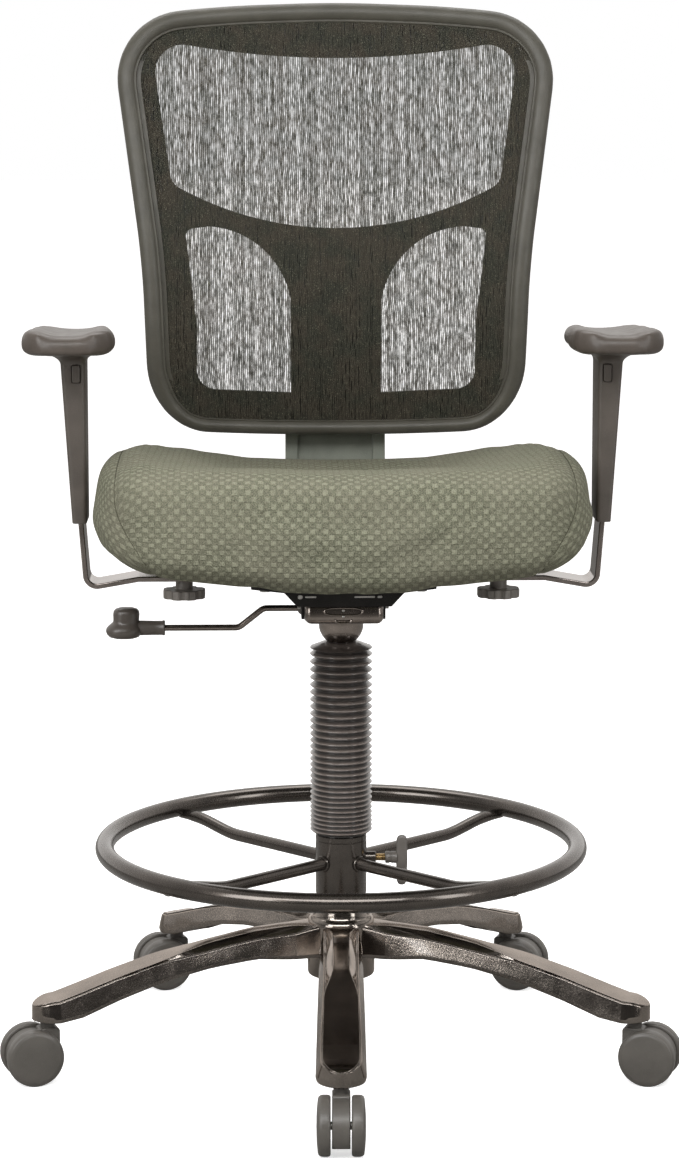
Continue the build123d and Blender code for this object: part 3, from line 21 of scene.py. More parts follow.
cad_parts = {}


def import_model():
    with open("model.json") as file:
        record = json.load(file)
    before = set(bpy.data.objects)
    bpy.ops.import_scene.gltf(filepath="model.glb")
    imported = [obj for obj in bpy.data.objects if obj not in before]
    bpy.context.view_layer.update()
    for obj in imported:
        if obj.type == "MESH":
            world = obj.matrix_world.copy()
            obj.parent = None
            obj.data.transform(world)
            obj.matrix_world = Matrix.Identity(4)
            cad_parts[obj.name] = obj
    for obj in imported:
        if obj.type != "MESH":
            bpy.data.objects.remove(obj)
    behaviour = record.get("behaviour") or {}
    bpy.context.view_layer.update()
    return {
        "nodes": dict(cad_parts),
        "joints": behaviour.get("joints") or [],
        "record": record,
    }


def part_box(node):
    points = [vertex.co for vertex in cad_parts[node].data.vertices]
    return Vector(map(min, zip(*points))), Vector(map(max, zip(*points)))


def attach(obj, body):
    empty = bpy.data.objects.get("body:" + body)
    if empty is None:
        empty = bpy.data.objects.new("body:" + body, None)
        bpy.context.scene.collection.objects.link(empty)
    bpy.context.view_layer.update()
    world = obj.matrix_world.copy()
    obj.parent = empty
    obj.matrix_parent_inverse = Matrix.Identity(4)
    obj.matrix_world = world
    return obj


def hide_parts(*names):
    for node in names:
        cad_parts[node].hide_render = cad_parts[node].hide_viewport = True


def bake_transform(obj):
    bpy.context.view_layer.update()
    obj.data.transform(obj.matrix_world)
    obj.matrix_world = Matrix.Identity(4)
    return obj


log = logging.getLogger("drafting_chair")

MM = 0.001
UP = Vector((0, 0, 1))
ASIDE = Vector((1, 0, 0))
REARWARDS = Vector((0, 1, 0))
FAR = 400.0
WELD = 2e-5
FLAT_ANGLE = 0.8
MIX_COLOUR_INPUTS = (0, 6, 7)
MIX_COLOUR_OUTPUT = 2
Pair = tuple[float, float]
Triple = tuple[float, float, float]
Colour = tuple[float, float, float]


class Side(Enum):
    """The sitter's own side an armrest stands on, and its sign along X."""

    LEFT = 1
    RIGHT = -1


class Grain(Enum):
    """How the tool marks run on a metal surface."""

    EVEN = (1.0, 1.0, 1.0)
    ALONG_Z = (1.0, 1.0, 0.06)


# ---------------------------------------------------------------------------
# Finishes
# ---------------------------------------------------------------------------
class Shading:
    """A material being wired: its Principled shader and the nodes that feed it."""

    def __init__(self, name: str) -> None:
        """Start an empty material.

        Args:
            name: the material's name.
        """
        self.material = bpy.data.materials.new(name)
        self.material.use_nodes = True
        self.nodes = self.material.node_tree.nodes
        self.links = self.material.node_tree.links
        self.shader = self.nodes["Principled BSDF"]

    def feed(self, socket: bpy.types.NodeSocket, value: object) -> None:
        """Link a socket to another, or give it a value.

        Args:
            socket: the input to feed.
            value: the output that feeds it, or a plain value.
        """
        if isinstance(value, bpy.types.NodeSocket):
            self.links.new(value, socket)
        else:
            socket.default_value = value

    def node(self, kind: str, feeds: dict[str, object], **settings: object) -> bpy.types.Node:
        """Add a node.

        Args:
            kind: the node's type without its ShaderNode prefix.
            feeds: what goes into its inputs, by name.
            settings: the node's own properties.

        Returns:
            The new node.
        """
        made = self.nodes.new("ShaderNode" + kind)
        for key, value in settings.items():
            setattr(made, key, value)
        for key, value in feeds.items():
            self.feed(made.inputs[key], value)
        return made

    def math(self, operation: str, *values: object) -> bpy.types.NodeSocket:
        """Return the result of a Math node on these values.

        Args:
            operation: what the node works out.
            values: its inputs in order.

        Returns:
            The result's socket.
        """
        made = self.node("Math", {}, operation=operation)
        for socket, value in zip(made.inputs, values):
            self.feed(socket, value)
        return made.outputs[0]

    def vector(self, operation: str, feeds: dict[str, object]) -> bpy.types.NodeSocket:
        """Return the result of a Vector Math node on these inputs."""
        return self.node("VectorMath", feeds, operation=operation).outputs[0]

    def place(self, stretch: Sequence[float] = (1, 1, 1)) -> bpy.types.NodeSocket:
        """Return the Object coordinates, stretched by these factors."""
        spot = self.node("TexCoord", {}).outputs["Object"]
        return self.node("Mapping", {"Vector": spot, "Scale": tuple(stretch)}).outputs["Vector"]

    def noise(
        self, scale: float, detail: float = 2.0, stretch: Sequence[float] = (1, 1, 1)
    ) -> bpy.types.NodeSocket:
        """Return a noise of this scale, in features per metre, on the Object coordinates."""
        feeds = {"Vector": self.place(stretch), "Scale": scale, "Detail": detail}
        return self.node("TexNoise", feeds).outputs[0]

    def spread(
        self,
        value: bpy.types.NodeSocket,
        low: float,
        high: float,
        start: float = 0.3,
        end: float = 0.7,
    ) -> bpy.types.NodeSocket:
        """Return a value mapped from start..end to low..high, and held outside."""
        feeds = {"Value": value, "From Min": start, "From Max": end, "To Min": low, "To Max": high}
        return self.node("MapRange", feeds).outputs[0]

    def blend(
        self, share: bpy.types.NodeSocket, first: object, second: object
    ) -> bpy.types.NodeSocket:
        """Return a colour between two colours.

        Args:
            share: how much of the second colour is in it.
            first: the colour at 0.
            second: the colour at 1.

        Returns:
            The colour's socket.
        """
        made = self.nodes.new("ShaderNodeMix")
        made.data_type = "RGBA"
        for index, value in zip(MIX_COLOUR_INPUTS, (share, first, second)):
            self.feed(made.inputs[index], value)
        return made.outputs[MIX_COLOUR_OUTPUT]

    def relief(self, height: bpy.types.NodeSocket, strength: float, depth: float) -> None:
        """Raise the surface by a height, this many millimetres deep."""
        feeds = {"Height": height, "Strength": strength, "Distance": depth * MM}
        self.feed(self.shader.inputs["Normal"], self.node("Bump", feeds).outputs["Normal"])


def rgba(colour: Colour, factor: float = 1.0) -> tuple[float, float, float, float]:
    """Return a colour made lighter or darker, with full alpha."""
    return (colour[0] * factor, colour[1] * factor, colour[2] * factor, 1.0)


@dataclass(frozen=True)
class Finish:
    """A surface finish, the material slot it belongs to and how it takes the light."""

    name: str
    slot: str
    colour: Colour
    roughness: float
    metallic: float = 0.0
    coat: float = 0.0
    coat_roughness: float = 0.08
    specular: float = 0.5
    sheen: float = 0.0

    def material(self) -> bpy.types.Material:
        """Make the material the first time it is asked for.

        Returns:
            The material, shared by every piece with this finish.
        """
        made = bpy.data.materials.get(self.name)
        if made is None:
            shading = Shading(self.name)
            inputs = shading.shader.inputs
            inputs["Metallic"].default_value = self.metallic
            inputs["Roughness"].default_value = self.roughness
            inputs["Coat Weight"].default_value = self.coat
            inputs["Coat Roughness"].default_value = self.coat_roughness
            inputs["Specular IOR Level"].default_value = self.specular
            inputs["Sheen Weight"].default_value = self.sheen
            self.wire(shading)
            made = shading.material
        return made

    def wire(self, shading: Shading) -> None:
        """Give the shader this finish's own pattern.

        Args:
            shading: the material being wired.
        """
        raise NotImplementedError


@dataclass(frozen=True)
class Enamel(Finish):
    """Glossy stoved paint on a casting, with a fine flake and a slight orange peel."""

    flake: float = 0.25
    peel: float = 0.10
    edge: Colour = (1.0, 1.0, 1.0)

    def wire(self, shading: Shading) -> None:
        """Mottle the colour, scatter the flake and ripple the coat.

        Args:
            shading: the material being wired.
        """
        shading.shader.inputs["Specular Tint"].default_value = rgba(self.edge)
        cloud = shading.spread(shading.noise(26, 3), 0.0, 1.0)
        speck = shading.spread(shading.noise(1000, 3), 0.0, self.flake, 0.48, 0.68)
        tone = shading.blend(cloud, rgba(self.colour, 0.7), rgba(self.colour, 1.25))
        tone = shading.blend(speck, tone, rgba(self.colour, 6))
        shading.feed(shading.shader.inputs["Base Color"], tone)
        rough = shading.spread(shading.noise(60, 4), self.roughness * 0.75, self.roughness * 1.3)
        shading.feed(shading.shader.inputs["Roughness"], rough)
        shading.relief(shading.noise(420, 1), self.peel, 0.25)


@dataclass(frozen=True)
class Metal(Finish):
    """Plated or turned metal with fine marks and a little tarnish."""

    grain: Grain = Grain.EVEN
    marks: float = 0.12

    def wire(self, shading: Shading) -> None:
        """Draw the marks along the grain and darken the metal where it has dulled.

        Args:
            shading: the material being wired.
        """
        cloud = shading.spread(shading.noise(34, 4), 0.0, 1.0)
        tone = shading.blend(cloud, rgba(self.colour, 0.78), rgba(self.colour, 1.12))
        shading.feed(shading.shader.inputs["Base Color"], tone)
        scratch = shading.noise(1300, 2, self.grain.value)
        rough = shading.spread(scratch, self.roughness * 0.85, self.roughness * 1.25)
        shading.feed(shading.shader.inputs["Roughness"], rough)
        shading.relief(scratch, self.marks, 0.06)


@dataclass(frozen=True)
class Moulded(Finish):
    """Moulded plastic or rubber with a spark-eroded grain and faint scuffs."""

    grain_scale: float = 1500.0
    grain_depth: float = 0.10
    scuff: float = 0.25

    def wire(self, shading: Shading) -> None:
        """Lay the grain over soft changes of tone and gloss.

        Args:
            shading: the material being wired.
        """
        cloud = shading.spread(shading.noise(40, 5), 0.0, 1.0)
        tone = shading.blend(cloud, rgba(self.colour, 0.86), rgba(self.colour, 1.16))
        grain = shading.noise(self.grain_scale, 3)
        speck = shading.spread(grain, 0.0, 0.35, 0.52, 0.72)
        tone = shading.blend(speck, tone, rgba(self.colour, 1.7))
        shading.feed(shading.shader.inputs["Base Color"], tone)
        worn = self.roughness * (1 - self.scuff)
        scuffs = shading.spread(shading.noise(90, 6), self.roughness, worn)
        shading.feed(shading.shader.inputs["Roughness"], scuffs)
        shading.relief(grain, 0.5, self.grain_depth)


@dataclass(frozen=True)
class FoldedRubber(Moulded):
    """Rubber with shade painted dark into its folds and a highlight painted light along its crests;
    it is also duller in the folds.
    """

    # Colour of the painted shade in the folds.
    painted_fold_shade: Colour = (0.022, 0.017, 0.014)

    def wire(self, shading: Shading) -> None:
        """Paint shade into the folds and a highlight along the crests by the height within them,
        and let that height drive the gloss.

        Args:
            shading: the material being wired.
        """
        super().wire(shading)
        crest = shading.node("Attribute", {}, attribute_name="crest").outputs["Fac"]
        share = shading.spread(crest, 0.0, 1.0, 0.30, 1.0)
        # Painted shade in the folds, painted highlight along the crests.
        tone = shading.blend(share, rgba(self.painted_fold_shade), rgba(self.colour))
        worn = shading.spread(shading.noise(120, 3), 0.80, 1.15)
        tone = shading.vector("SCALE", {0: tone, "Scale": worn})
        shading.feed(shading.shader.inputs["Base Color"], tone)
        rough = shading.spread(crest, 0.55, self.roughness, 0.2, 0.8)
        shading.feed(shading.shader.inputs["Roughness"], rough)


@dataclass(frozen=True)
class BasketWeave(Finish):
    """Upholstery cloth: soft raised cells of three ribs in a chequer on a fuzzy ground, with shade
    painted into the grooves and onto the sunken ground.
    """

    # Colour of the painted shade in the grooves round each cell and on the sunken ground.
    shade: Colour = (0.064, 0.065, 0.044)
    cell_width: float = 6.3
    cell_height: float = 5.6
    ribs: int = 3
    stray: float = 3.4
    depth: float = 1.0

    def wire(self, shading: Shading) -> None:
        """Work the cells out of the cloth's own UV map, then raise them and paint shade where they
        sink.

        Args:
            shading: the material being wired.
        """
        uv = shading.node("UVMap", {}, uv_map="weave").outputs["UV"]
        cloud = shading.node("TexNoise", {"Vector": uv, "Scale": 60.0, "Detail": 3.0})
        stray = shading.vector("SUBTRACT", {0: cloud.outputs["Color"], 1: (0.5, 0.5, 0.5)})
        stray = shading.vector("SCALE", {0: stray, "Scale": self.stray * MM})
        spot = shading.vector("ADD", {0: uv, 1: stray})
        split = shading.node("SeparateXYZ", {"Vector": spot})
        across = shading.math("DIVIDE", split.outputs["X"], self.cell_width * MM)
        along = shading.math("DIVIDE", split.outputs["Y"], self.cell_height * MM)
        column = shading.math("FLOOR", across)
        row = shading.math("FLOOR", along)
        raised = shading.math("PINGPONG", shading.math("ADD", column, row), 1.0)
        walls = shading.math("MULTIPLY", self.waves(shading, across, 1), 1.5)
        walls = shading.math("MINIMUM", walls, 1.0)
        ends = shading.math("MULTIPLY", self.waves(shading, along, 1), 1.6)
        ends = shading.math("MINIMUM", ends, 1.0)
        ribs = shading.math("MULTIPLY_ADD", self.waves(shading, across, self.ribs), 0.34, 0.66)
        hill = shading.math("MULTIPLY", shading.math("MULTIPLY", walls, ends), ribs)
        height = shading.math("MULTIPLY", raised, hill)
        cell = shading.node("CombineXYZ", {"X": column, "Y": row}).outputs[0]
        chance = shading.node("TexWhiteNoise", {"Vector": cell}, noise_dimensions="2D")
        lot = shading.spread(chance.outputs["Value"], 0.70, 1.10, 0.0, 1.0)
        fuzz = shading.noise(950, 2)
        # Painted shade: the lower the relief, the darker the cloth.
        shade = shading.math("MULTIPLY_ADD", shading.math("MULTIPLY", height, lot), 0.62, 0.36)
        shade = shading.math("ADD", shade, shading.spread(fuzz, -0.40, 0.40, 0.32, 0.68))
        shade = shading.math("MAXIMUM", shade, 0.0)
        shade = shading.math("MINIMUM", shade, 1.0)
        tone = shading.blend(shade, rgba(self.shade), rgba(self.colour))
        patch = shading.spread(shading.noise(17, 3), 0.0, 1.0)
        warm = (self.colour[0] * 0.98, self.colour[1] * 0.88, self.colour[2] * 0.95)
        worn = shading.blend(shading.math("MULTIPLY", patch, 0.30), tone, rgba(warm, 0.8))
        shading.feed(shading.shader.inputs["Base Color"], worn)
        relief = shading.math("MULTIPLY_ADD", fuzz, 0.35, height)
        shading.relief(relief, 0.8, self.depth)

    def waves(
        self, shading: Shading, place: bpy.types.NodeSocket, count: int
    ) -> bpy.types.NodeSocket:
        """Return this many smooth humps over each whole step of a place."""
        angle = shading.math("MULTIPLY", place, math.pi * count)
        return shading.math("ABSOLUTE", shading.math("SINE", angle))


@dataclass(frozen=True)
class NetFabric(Finish):
    """Open mesh of dark upright yarns in fine columns, broken by short see-through gaps."""

    yarn: Colour = (0.016, 0.015, 0.011)
    cool: Colour = (0.046, 0.047, 0.036)
    # Colour of the fine painted highlights on the yarns.
    painted_glint: Colour = (0.16, 0.155, 0.115)
    pitch: float = 2.05
    sway: float = 1.0
    runs: float = 100.0
    column_gap: float = 17.31
    gap_alpha: float = 0.04

    def wire(self, shading: Shading) -> None:
        """Let the gaps along each column drive the opening, and paint fine highlights on the yarns
        as glints.

        Args:
            shading: the material being wired.
        """
        sway = shading.spread(shading.noise(26, 1), -self.sway * MM, self.sway * MM)
        split = shading.node("SeparateXYZ", {"Vector": shading.place()})
        across = shading.math("ADD", split.outputs["X"], sway)
        across = shading.math("DIVIDE", across, self.pitch * MM)
        column = shading.math("MULTIPLY", shading.math("FLOOR", across), self.column_gap)
        rib = shading.math("SINE", shading.math("MULTIPLY", across, math.pi))
        rib = shading.math("ABSOLUTE", rib)
        run = shading.math("MULTIPLY", split.outputs["Z"], self.runs)
        place = shading.node("CombineXYZ", {"X": column, "Z": run}).outputs[0]
        lot = shading.node("TexNoise", {"Vector": place, "Scale": 1.0, "Detail": 3.0}).outputs[0]
        chance = shading.node("TexWhiteNoise", {"W": column}, noise_dimensions="1D")
        level = shading.spread(chance.outputs["Value"], 0.70, 1.20, 0.0, 1.0)
        gap = shading.spread(lot, 0.30, 1.0, 0.32, 0.66)
        gap = shading.math("MULTIPLY", gap, level)
        gap = shading.math("MULTIPLY", gap, shading.spread(rib, 0.20, 1.0, 0.25, 0.85))
        opening = shading.spread(gap, 0.98, self.gap_alpha, 0.05, 0.95)
        shading.feed(shading.shader.inputs["Alpha"], opening)
        patch = shading.spread(shading.noise(40, 2), 0.0, 1.0, 0.40, 0.60)
        pale = shading.blend(patch, rgba(self.cool), rgba(self.colour))
        share = shading.spread(gap, 0.0, 1.0, 0.05, 0.45)
        tone = shading.blend(share, rgba(self.yarn), pale)
        # Fine painted highlights scattered on the yarns.
        painted_glint = shading.spread(shading.noise(1050, 2), 0.0, 1.0, 0.57, 0.69)
        tone = shading.blend(painted_glint, tone, rgba(self.painted_glint))
        shading.feed(shading.shader.inputs["Base Color"], tone)
        shading.relief(rib, 0.4, 0.3)


@dataclass(frozen=True)
class Twine(Finish):
    """Twisted sewing thread or a folded cloth edge."""

    def wire(self, shading: Shading) -> None:
        """Twist the strands by a fine noise.

        Args:
            shading: the material being wired.
        """
        strands = shading.noise(2400, 2, (1.0, 1.0, 0.5))
        share = shading.spread(strands, 0.0, 1.0)
        tone = shading.blend(share, rgba(self.colour, 0.6), rgba(self.colour, 1.3))
        shading.feed(shading.shader.inputs["Base Color"], tone)
        shading.relief(strands, 0.5, 0.2)


GUNMETAL = Enamel(
    "smoked_chrome", "polished_base", (0.200, 0.176, 0.155), 0.14, metallic=1.0, coat=0.45,
    coat_roughness=0.04, flake=0.10, peel=0.06, edge=(0.94, 0.86, 0.80),
)
CAST_SIDE = Enamel(
    "smoked_cast_side", "polished_base", (0.125, 0.110, 0.097), 0.22, metallic=0.95, coat=0.6,
    coat_roughness=0.06, flake=0.40, peel=0.40, edge=(0.90, 0.78, 0.68),
)
MECHANISM_STEEL = Metal(
    "smoked_mechanism_steel", "black_steel", (0.250, 0.215, 0.190), 0.22, metallic=1.0, coat=0.4,
    marks=0.03,
)
BLACK_STEEL = Enamel(
    "black_painted_steel", "black_steel", (0.020, 0.017, 0.015), 0.26, metallic=0.4, coat=0.7,
    flake=0.1,
)
PLATE_ENAMEL = Enamel("plate_enamel", "black_steel", (0.010, 0.009, 0.008), 0.5, specular=0.25)
TITANIUM = Metal(
    "titanium_tube", "chromed_tube", (0.090, 0.078, 0.068), 0.24, metallic=0.9, coat=0.45,
    marks=0.02,
)
ARM_STEEL = Metal(
    "polished_arm_steel", "arm_steel", (0.30, 0.265, 0.245), 0.14, metallic=1.0,
    grain=Grain.ALONG_Z, marks=0.04,
)
ZINC = Metal("zinc_plate", "zinc_steel", (0.52, 0.51, 0.49), 0.30, metallic=1.0)
BRASS = Metal("turned_brass", "brass_screw", (0.62, 0.43, 0.20), 0.25, metallic=1.0)
# Its colour is the painted highlight along the crests; the folds get painted shade.
RUBBER = FoldedRubber(
    "folded_rubber", "bellows_rubber", (0.170, 0.142, 0.126), 0.22, specular=0.7, coat=0.8,
    coat_roughness=0.10, grain_depth=0.03,
)
CASTER_NYLON = Moulded(
    "caster_grey_nylon", "caster_nylon", (0.086, 0.079, 0.070), 0.45, grain_depth=0.03
)
BLACK_NYLON = Moulded(
    "satin_black_nylon", "black_nylon", (0.095, 0.086, 0.077), 0.45, grain_depth=0.04
)
GRID_NYLON = Moulded("grid_nylon", "black_nylon", (0.005, 0.005, 0.004), 0.6, specular=0.3)
# Black nylon painted lighter for the width knobs, as painted light from below.
KNOB_NYLON_PAINTED_LIGHT = Moulded("knob_nylon_painted_light", "black_nylon", (0.200, 0.182, 0.163), 0.45, grain_depth=0.03)
COVER_NYLON = Moulded("cover_nylon", "black_nylon", (0.165, 0.176, 0.146), 0.50)
FRAME_NYLON = Moulded(
    "rim_nylon", "frame_nylon", (0.066, 0.062, 0.050), 0.52, specular=0.35, grain_depth=0.03
)
SLEEVE_NYLON = Moulded("sleeve_nylon", "frame_nylon", (0.075, 0.064, 0.055), 0.40, grain_depth=0.05)
PAD_SKIN = Moulded(
    "pad_skin", "arm_pad_foam", (0.070, 0.058, 0.049), 0.44, specular=0.35, grain_scale=1100,
    grain_depth=0.04,
)
SEAT_CLOTH = BasketWeave(
    "seat_basket_weave", "green_fabric", (0.262, 0.266, 0.192), 0.92, specular=0.12
)
NET = NetFabric("back_net", "mesh_fabric", (0.068, 0.058, 0.044), 0.7, specular=0.1)
SEAM_TWINE = Twine("seam_twine", "green_fabric", (0.075, 0.072, 0.050), 0.95, specular=0.1)

FINISH_OF_SLOT = {
    finish.slot: finish
    for finish in (
        GUNMETAL, BLACK_STEEL, TITANIUM, ARM_STEEL, ZINC, BRASS, RUBBER, CASTER_NYLON,
        BLACK_NYLON, FRAME_NYLON, PAD_SKIN, SEAT_CLOTH, NET,
    )
}

FINISH_OF_NODE = {"back_grid": GRID_NYLON, "lever_rod": MECHANISM_STEEL}


# ---------------------------------------------------------------------------
# Making pieces
# ---------------------------------------------------------------------------
def make_piece(
    name: str,
    form: bmesh.types.BMesh,
    finish: Finish,
    body: str | None,
    stands_for: Sequence[str] = (),
    crease: float = 38.0,
    scale: float = MM,
) -> bpy.types.Object:
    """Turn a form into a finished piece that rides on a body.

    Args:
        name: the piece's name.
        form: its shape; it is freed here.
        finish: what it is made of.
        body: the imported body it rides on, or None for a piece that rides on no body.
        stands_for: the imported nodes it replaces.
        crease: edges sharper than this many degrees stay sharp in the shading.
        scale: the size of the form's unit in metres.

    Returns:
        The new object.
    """
    bmesh.ops.scale(form, vec=(scale, scale, scale), verts=form.verts)
    mesh = bpy.data.meshes.new(name)
    form.to_mesh(mesh)
    form.free()
    mesh.shade_smooth()
    mesh.set_sharp_from_angle(angle=math.radians(crease))
    mesh.materials.append(finish.material())
    piece = bpy.data.objects.new(name, mesh)
    bpy.context.scene.collection.objects.link(piece)
    if stands_for:
        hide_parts(*stands_for)
    if body is not None:
        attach(piece, body)
    log.info("%s: %d faces, %s", name, len(mesh.polygons), finish.name)
    return piece


def corners(node: str) -> tuple[Vector, Vector]:
    """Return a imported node's lowest and highest corners in millimetres."""
    low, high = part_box(node)
    return low / MM, high / MM


def middle(node: str) -> Vector:
    """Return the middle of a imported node's box in millimetres."""
    low, high = corners(node)
    return (low + high) / 2


def ease(value: float, start: float, end: float) -> float:
    """Return 0 before start, 1 after end and a smooth rise between them."""
    share = min(max((value - start) / (end - start), 0.0), 1.0)
    return share * share * (3 - 2 * share)


def between(first: float, second: float, share: float) -> float:
    """Return the value this share of the way from the first to the second."""
    return first + (second - first) * share


def along(value: float, stops: Sequence[Pair]) -> float:
    """Return what a value maps to on a smooth line through stops in rising order.

    Args:
        value: a place along the line.
        stops: places and what they map to, in rising order.

    Returns:
        What the place maps to.
    """
    result = stops[0][1]
    for (start, low), (end, high) in zip(stops, stops[1:]):
        if value > start:
            result = between(low, high, ease(value, start, end))
    return result


def welded(form: bmesh.types.BMesh, gap: float = 0.01) -> bmesh.types.BMesh:
    """Merge a form's doubled vertices and turn its faces outwards.

    Args:
        form: the form to mend.
        gap: how close two vertices are that become one.

    Returns:
        The same form.
    """
    bmesh.ops.remove_doubles(form, verts=form.verts, dist=gap)
    bmesh.ops.recalc_face_normals(form, faces=form.faces)
    return form


def gathered(*forms: bmesh.types.BMesh) -> bmesh.types.BMesh:
    """Return one form that holds all of these, which are freed.

    Args:
        forms: the forms to gather.

    Returns:
        The new form.
    """
    whole = bmesh.new()
    for form in forms:
        mesh = bpy.data.meshes.new("part")
        form.to_mesh(mesh)
        form.free()
        whole.from_mesh(mesh)
        bpy.data.meshes.remove(mesh)
    return whole


def repeated(form: bmesh.types.BMesh, places: Sequence[Matrix]) -> bmesh.types.BMesh:
    """Return a form copied to each of these places; the form is freed.

    Args:
        form: the form to copy.
        places: where each copy goes.

    Returns:
        One form that holds the copies.
    """
    copies = []
    for place in places:
        copy = form.copy()
        bmesh.ops.transform(copy, matrix=place, verts=copy.verts)
        copies.append(copy)
    form.free()
    return gathered(*copies)


def turned(profile: Sequence[Pair], steps: int = 64, ring: bool = True) -> bmesh.types.BMesh:
    """Spin a profile about Z.

    Args:
        profile: distance from the axis and height of each point.
        steps: how many steps make the full turn.
        ring: whether the last point joins the first.

    Returns:
        The closed form.
    """
    form = bmesh.new()
    points = [form.verts.new((radius, 0, height)) for radius, height in profile]
    followers = points[1:] + points[:1] if ring else points[1:]
    edges = [form.edges.new(ends) for ends in zip(points, followers)]
    bmesh.ops.spin(
        form, geom=points + edges, cent=(0, 0, 0), axis=UP, dvec=(0, 0, 0),
        angle=2 * math.pi, steps=steps, use_merge=True, use_duplicate=False,
    )
    return welded(form, 1e-4)


def lofted(rings: Sequence[Sequence[Vector]], closed: bool = False) -> bmesh.types.BMesh:
    """Skin a row of rings with the same number of points.

    Args:
        rings: the points of each ring, in order round it.
        closed: whether the last ring joins the first; otherwise both ends are capped.

    Returns:
        The closed form.
    """
    form = bmesh.new()
    front = [form.verts.new(point) for point in rings[0]]
    edges = [form.edges.new(ends) for ends in zip(front, front[1:] + front[:1])]
    place = {vert: index for index, vert in enumerate(front)}
    if not closed:
        form.faces.new(front)
    for ring in list(rings[1:]) + ([rings[0]] if closed else []):
        made = bmesh.ops.extrude_edge_only(form, edges=edges)["geom"]
        edges = [item for item in made if isinstance(item, bmesh.types.BMEdge)]
        fresh = [item for item in made if isinstance(item, bmesh.types.BMVert)]
        step = {}
        for vert in fresh:
            linked = (edge.other_vert(vert) for edge in vert.link_edges)
            step[vert] = place[next(other for other in linked if other in place)]
        place = step
        for vert, index in place.items():
            vert.co = ring[index]
    if not closed:
        form.faces.new(sorted(place, key=place.get))
    return welded(form, 1e-3)


def rounded_ring(
    centre: Vector, across: Vector, forth: Vector, half: Pair, corner: float, steps: int = 5
) -> list[Vector]:
    """Return the points of a rectangle with rounded corners.

    Args:
        centre: its middle.
        across: the unit vector along its width.
        forth: the unit vector along its depth.
        half: half its width and half its depth.
        corner: the radius of its corners.
        steps: how many points each corner has, less one.

    Returns:
        The points in order round it.
    """
    wide, deep = half
    corner = min(corner, wide * 0.999, deep * 0.999)
    points = []
    for quarter, (x_sign, y_sign) in enumerate(((1, 1), (-1, 1), (-1, -1), (1, -1))):
        for step in range(steps + 1):
            angle = math.radians(90 * (quarter + step / steps))
            x = x_sign * (wide - corner) + corner * math.cos(angle)
            y = y_sign * (deep - corner) + corner * math.sin(angle)
            points.append(centre + across * x + forth * y)
    return points


def oval(centre: Vector, across: Vector, over: Vector, half: Pair, steps: int = 8) -> list[Vector]:
    """Return the points of an oval.

    Args:
        centre: its middle.
        across: the unit vector along its width.
        over: the unit vector along its height.
        half: half its width and half its height.
        steps: how many points it has.

    Returns:
        The points in order round it.
    """
    turns = [2 * math.pi * step / steps for step in range(steps)]
    wide, high = half
    return [
        centre + across * wide * math.cos(turn) + over * high * math.sin(turn) for turn in turns
    ]


def rod(path: Sequence[Vector], radii: Sequence[Pair], steps: int = 20) -> bmesh.types.BMesh:
    """Skin a round or oval rod along a path in an upright plane.

    Args:
        path: the points of its middle line.
        radii: half its width across the path and half its height, at each point.
        steps: how many points go round it.

    Returns:
        The closed form.
    """
    rings = []
    for index, point in enumerate(path):
        ahead = path[min(index + 1, len(path) - 1)] - path[max(index - 1, 0)]
        across = ahead.cross(UP).normalized()
        over = across.cross(ahead).normalized()
        rings.append(oval(point, across, over, radii[index], steps))
    return lofted(rings)


def bevel_live(
    piece: bpy.types.Object, width: float, segments: int = 3, angle: float = 32.0
) -> None:
    """Round a piece's edges with a Bevel modifier.

    Args:
        piece: the piece to round.
        width: the width of the rounding.
        segments: how many faces make up the rounding.
        angle: edges sharper than this many degrees are rounded.
    """
    modifier = piece.modifiers.new("rounding", "BEVEL")
    modifier.width = width * MM
    modifier.segments = segments
    modifier.limit_method = "ANGLE"
    modifier.angle_limit = math.radians(angle)
    modifier.use_clamp_overlap = False
    modifier.harden_normals = True


def subdivide_live(piece: bpy.types.Object, levels: int = 1) -> None:
    """Smooth a piece with a Subdivision Surface modifier.

    Args:
        piece: the piece to smooth.
        levels: how often its faces are divided.
    """
    modifier = piece.modifiers.new("smoothing", "SUBSURF")
    modifier.levels = levels
    modifier.render_levels = levels


def applied(piece: bpy.types.Object) -> None:
    """Make the result of a piece's modifiers its own mesh.

    Args:
        piece: the piece to change.
    """
    bpy.context.view_layer.update()
    graph = bpy.context.evaluated_depsgraph_get()
    mesh = bpy.data.meshes.new_from_object(piece.evaluated_get(graph))
    piece.modifiers.clear()
    old = piece.data
    piece.data = mesh
    bpy.data.meshes.remove(old)


class Surface:
    """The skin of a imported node, measured with rays in millimetres."""

    def __init__(self, node: bpy.types.Object) -> None:
        """Read the node's triangles.

        Args:
            node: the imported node's object.
        """
        mesh = node.data
        points = [vertex.co / MM for vertex in mesh.vertices]
        faces = [tuple(face.vertices) for face in mesh.polygons]
        self.tree = BVHTree.FromPolygons(points, faces)

    def hit(self, start: Vector, towards: Vector) -> Vector:
        """Return where a ray first meets the skin, or the nearest point if it misses."""
        found = self.tree.ray_cast(start, towards)[0]
        return found if found is not None else self.tree.find_nearest(start)[0]


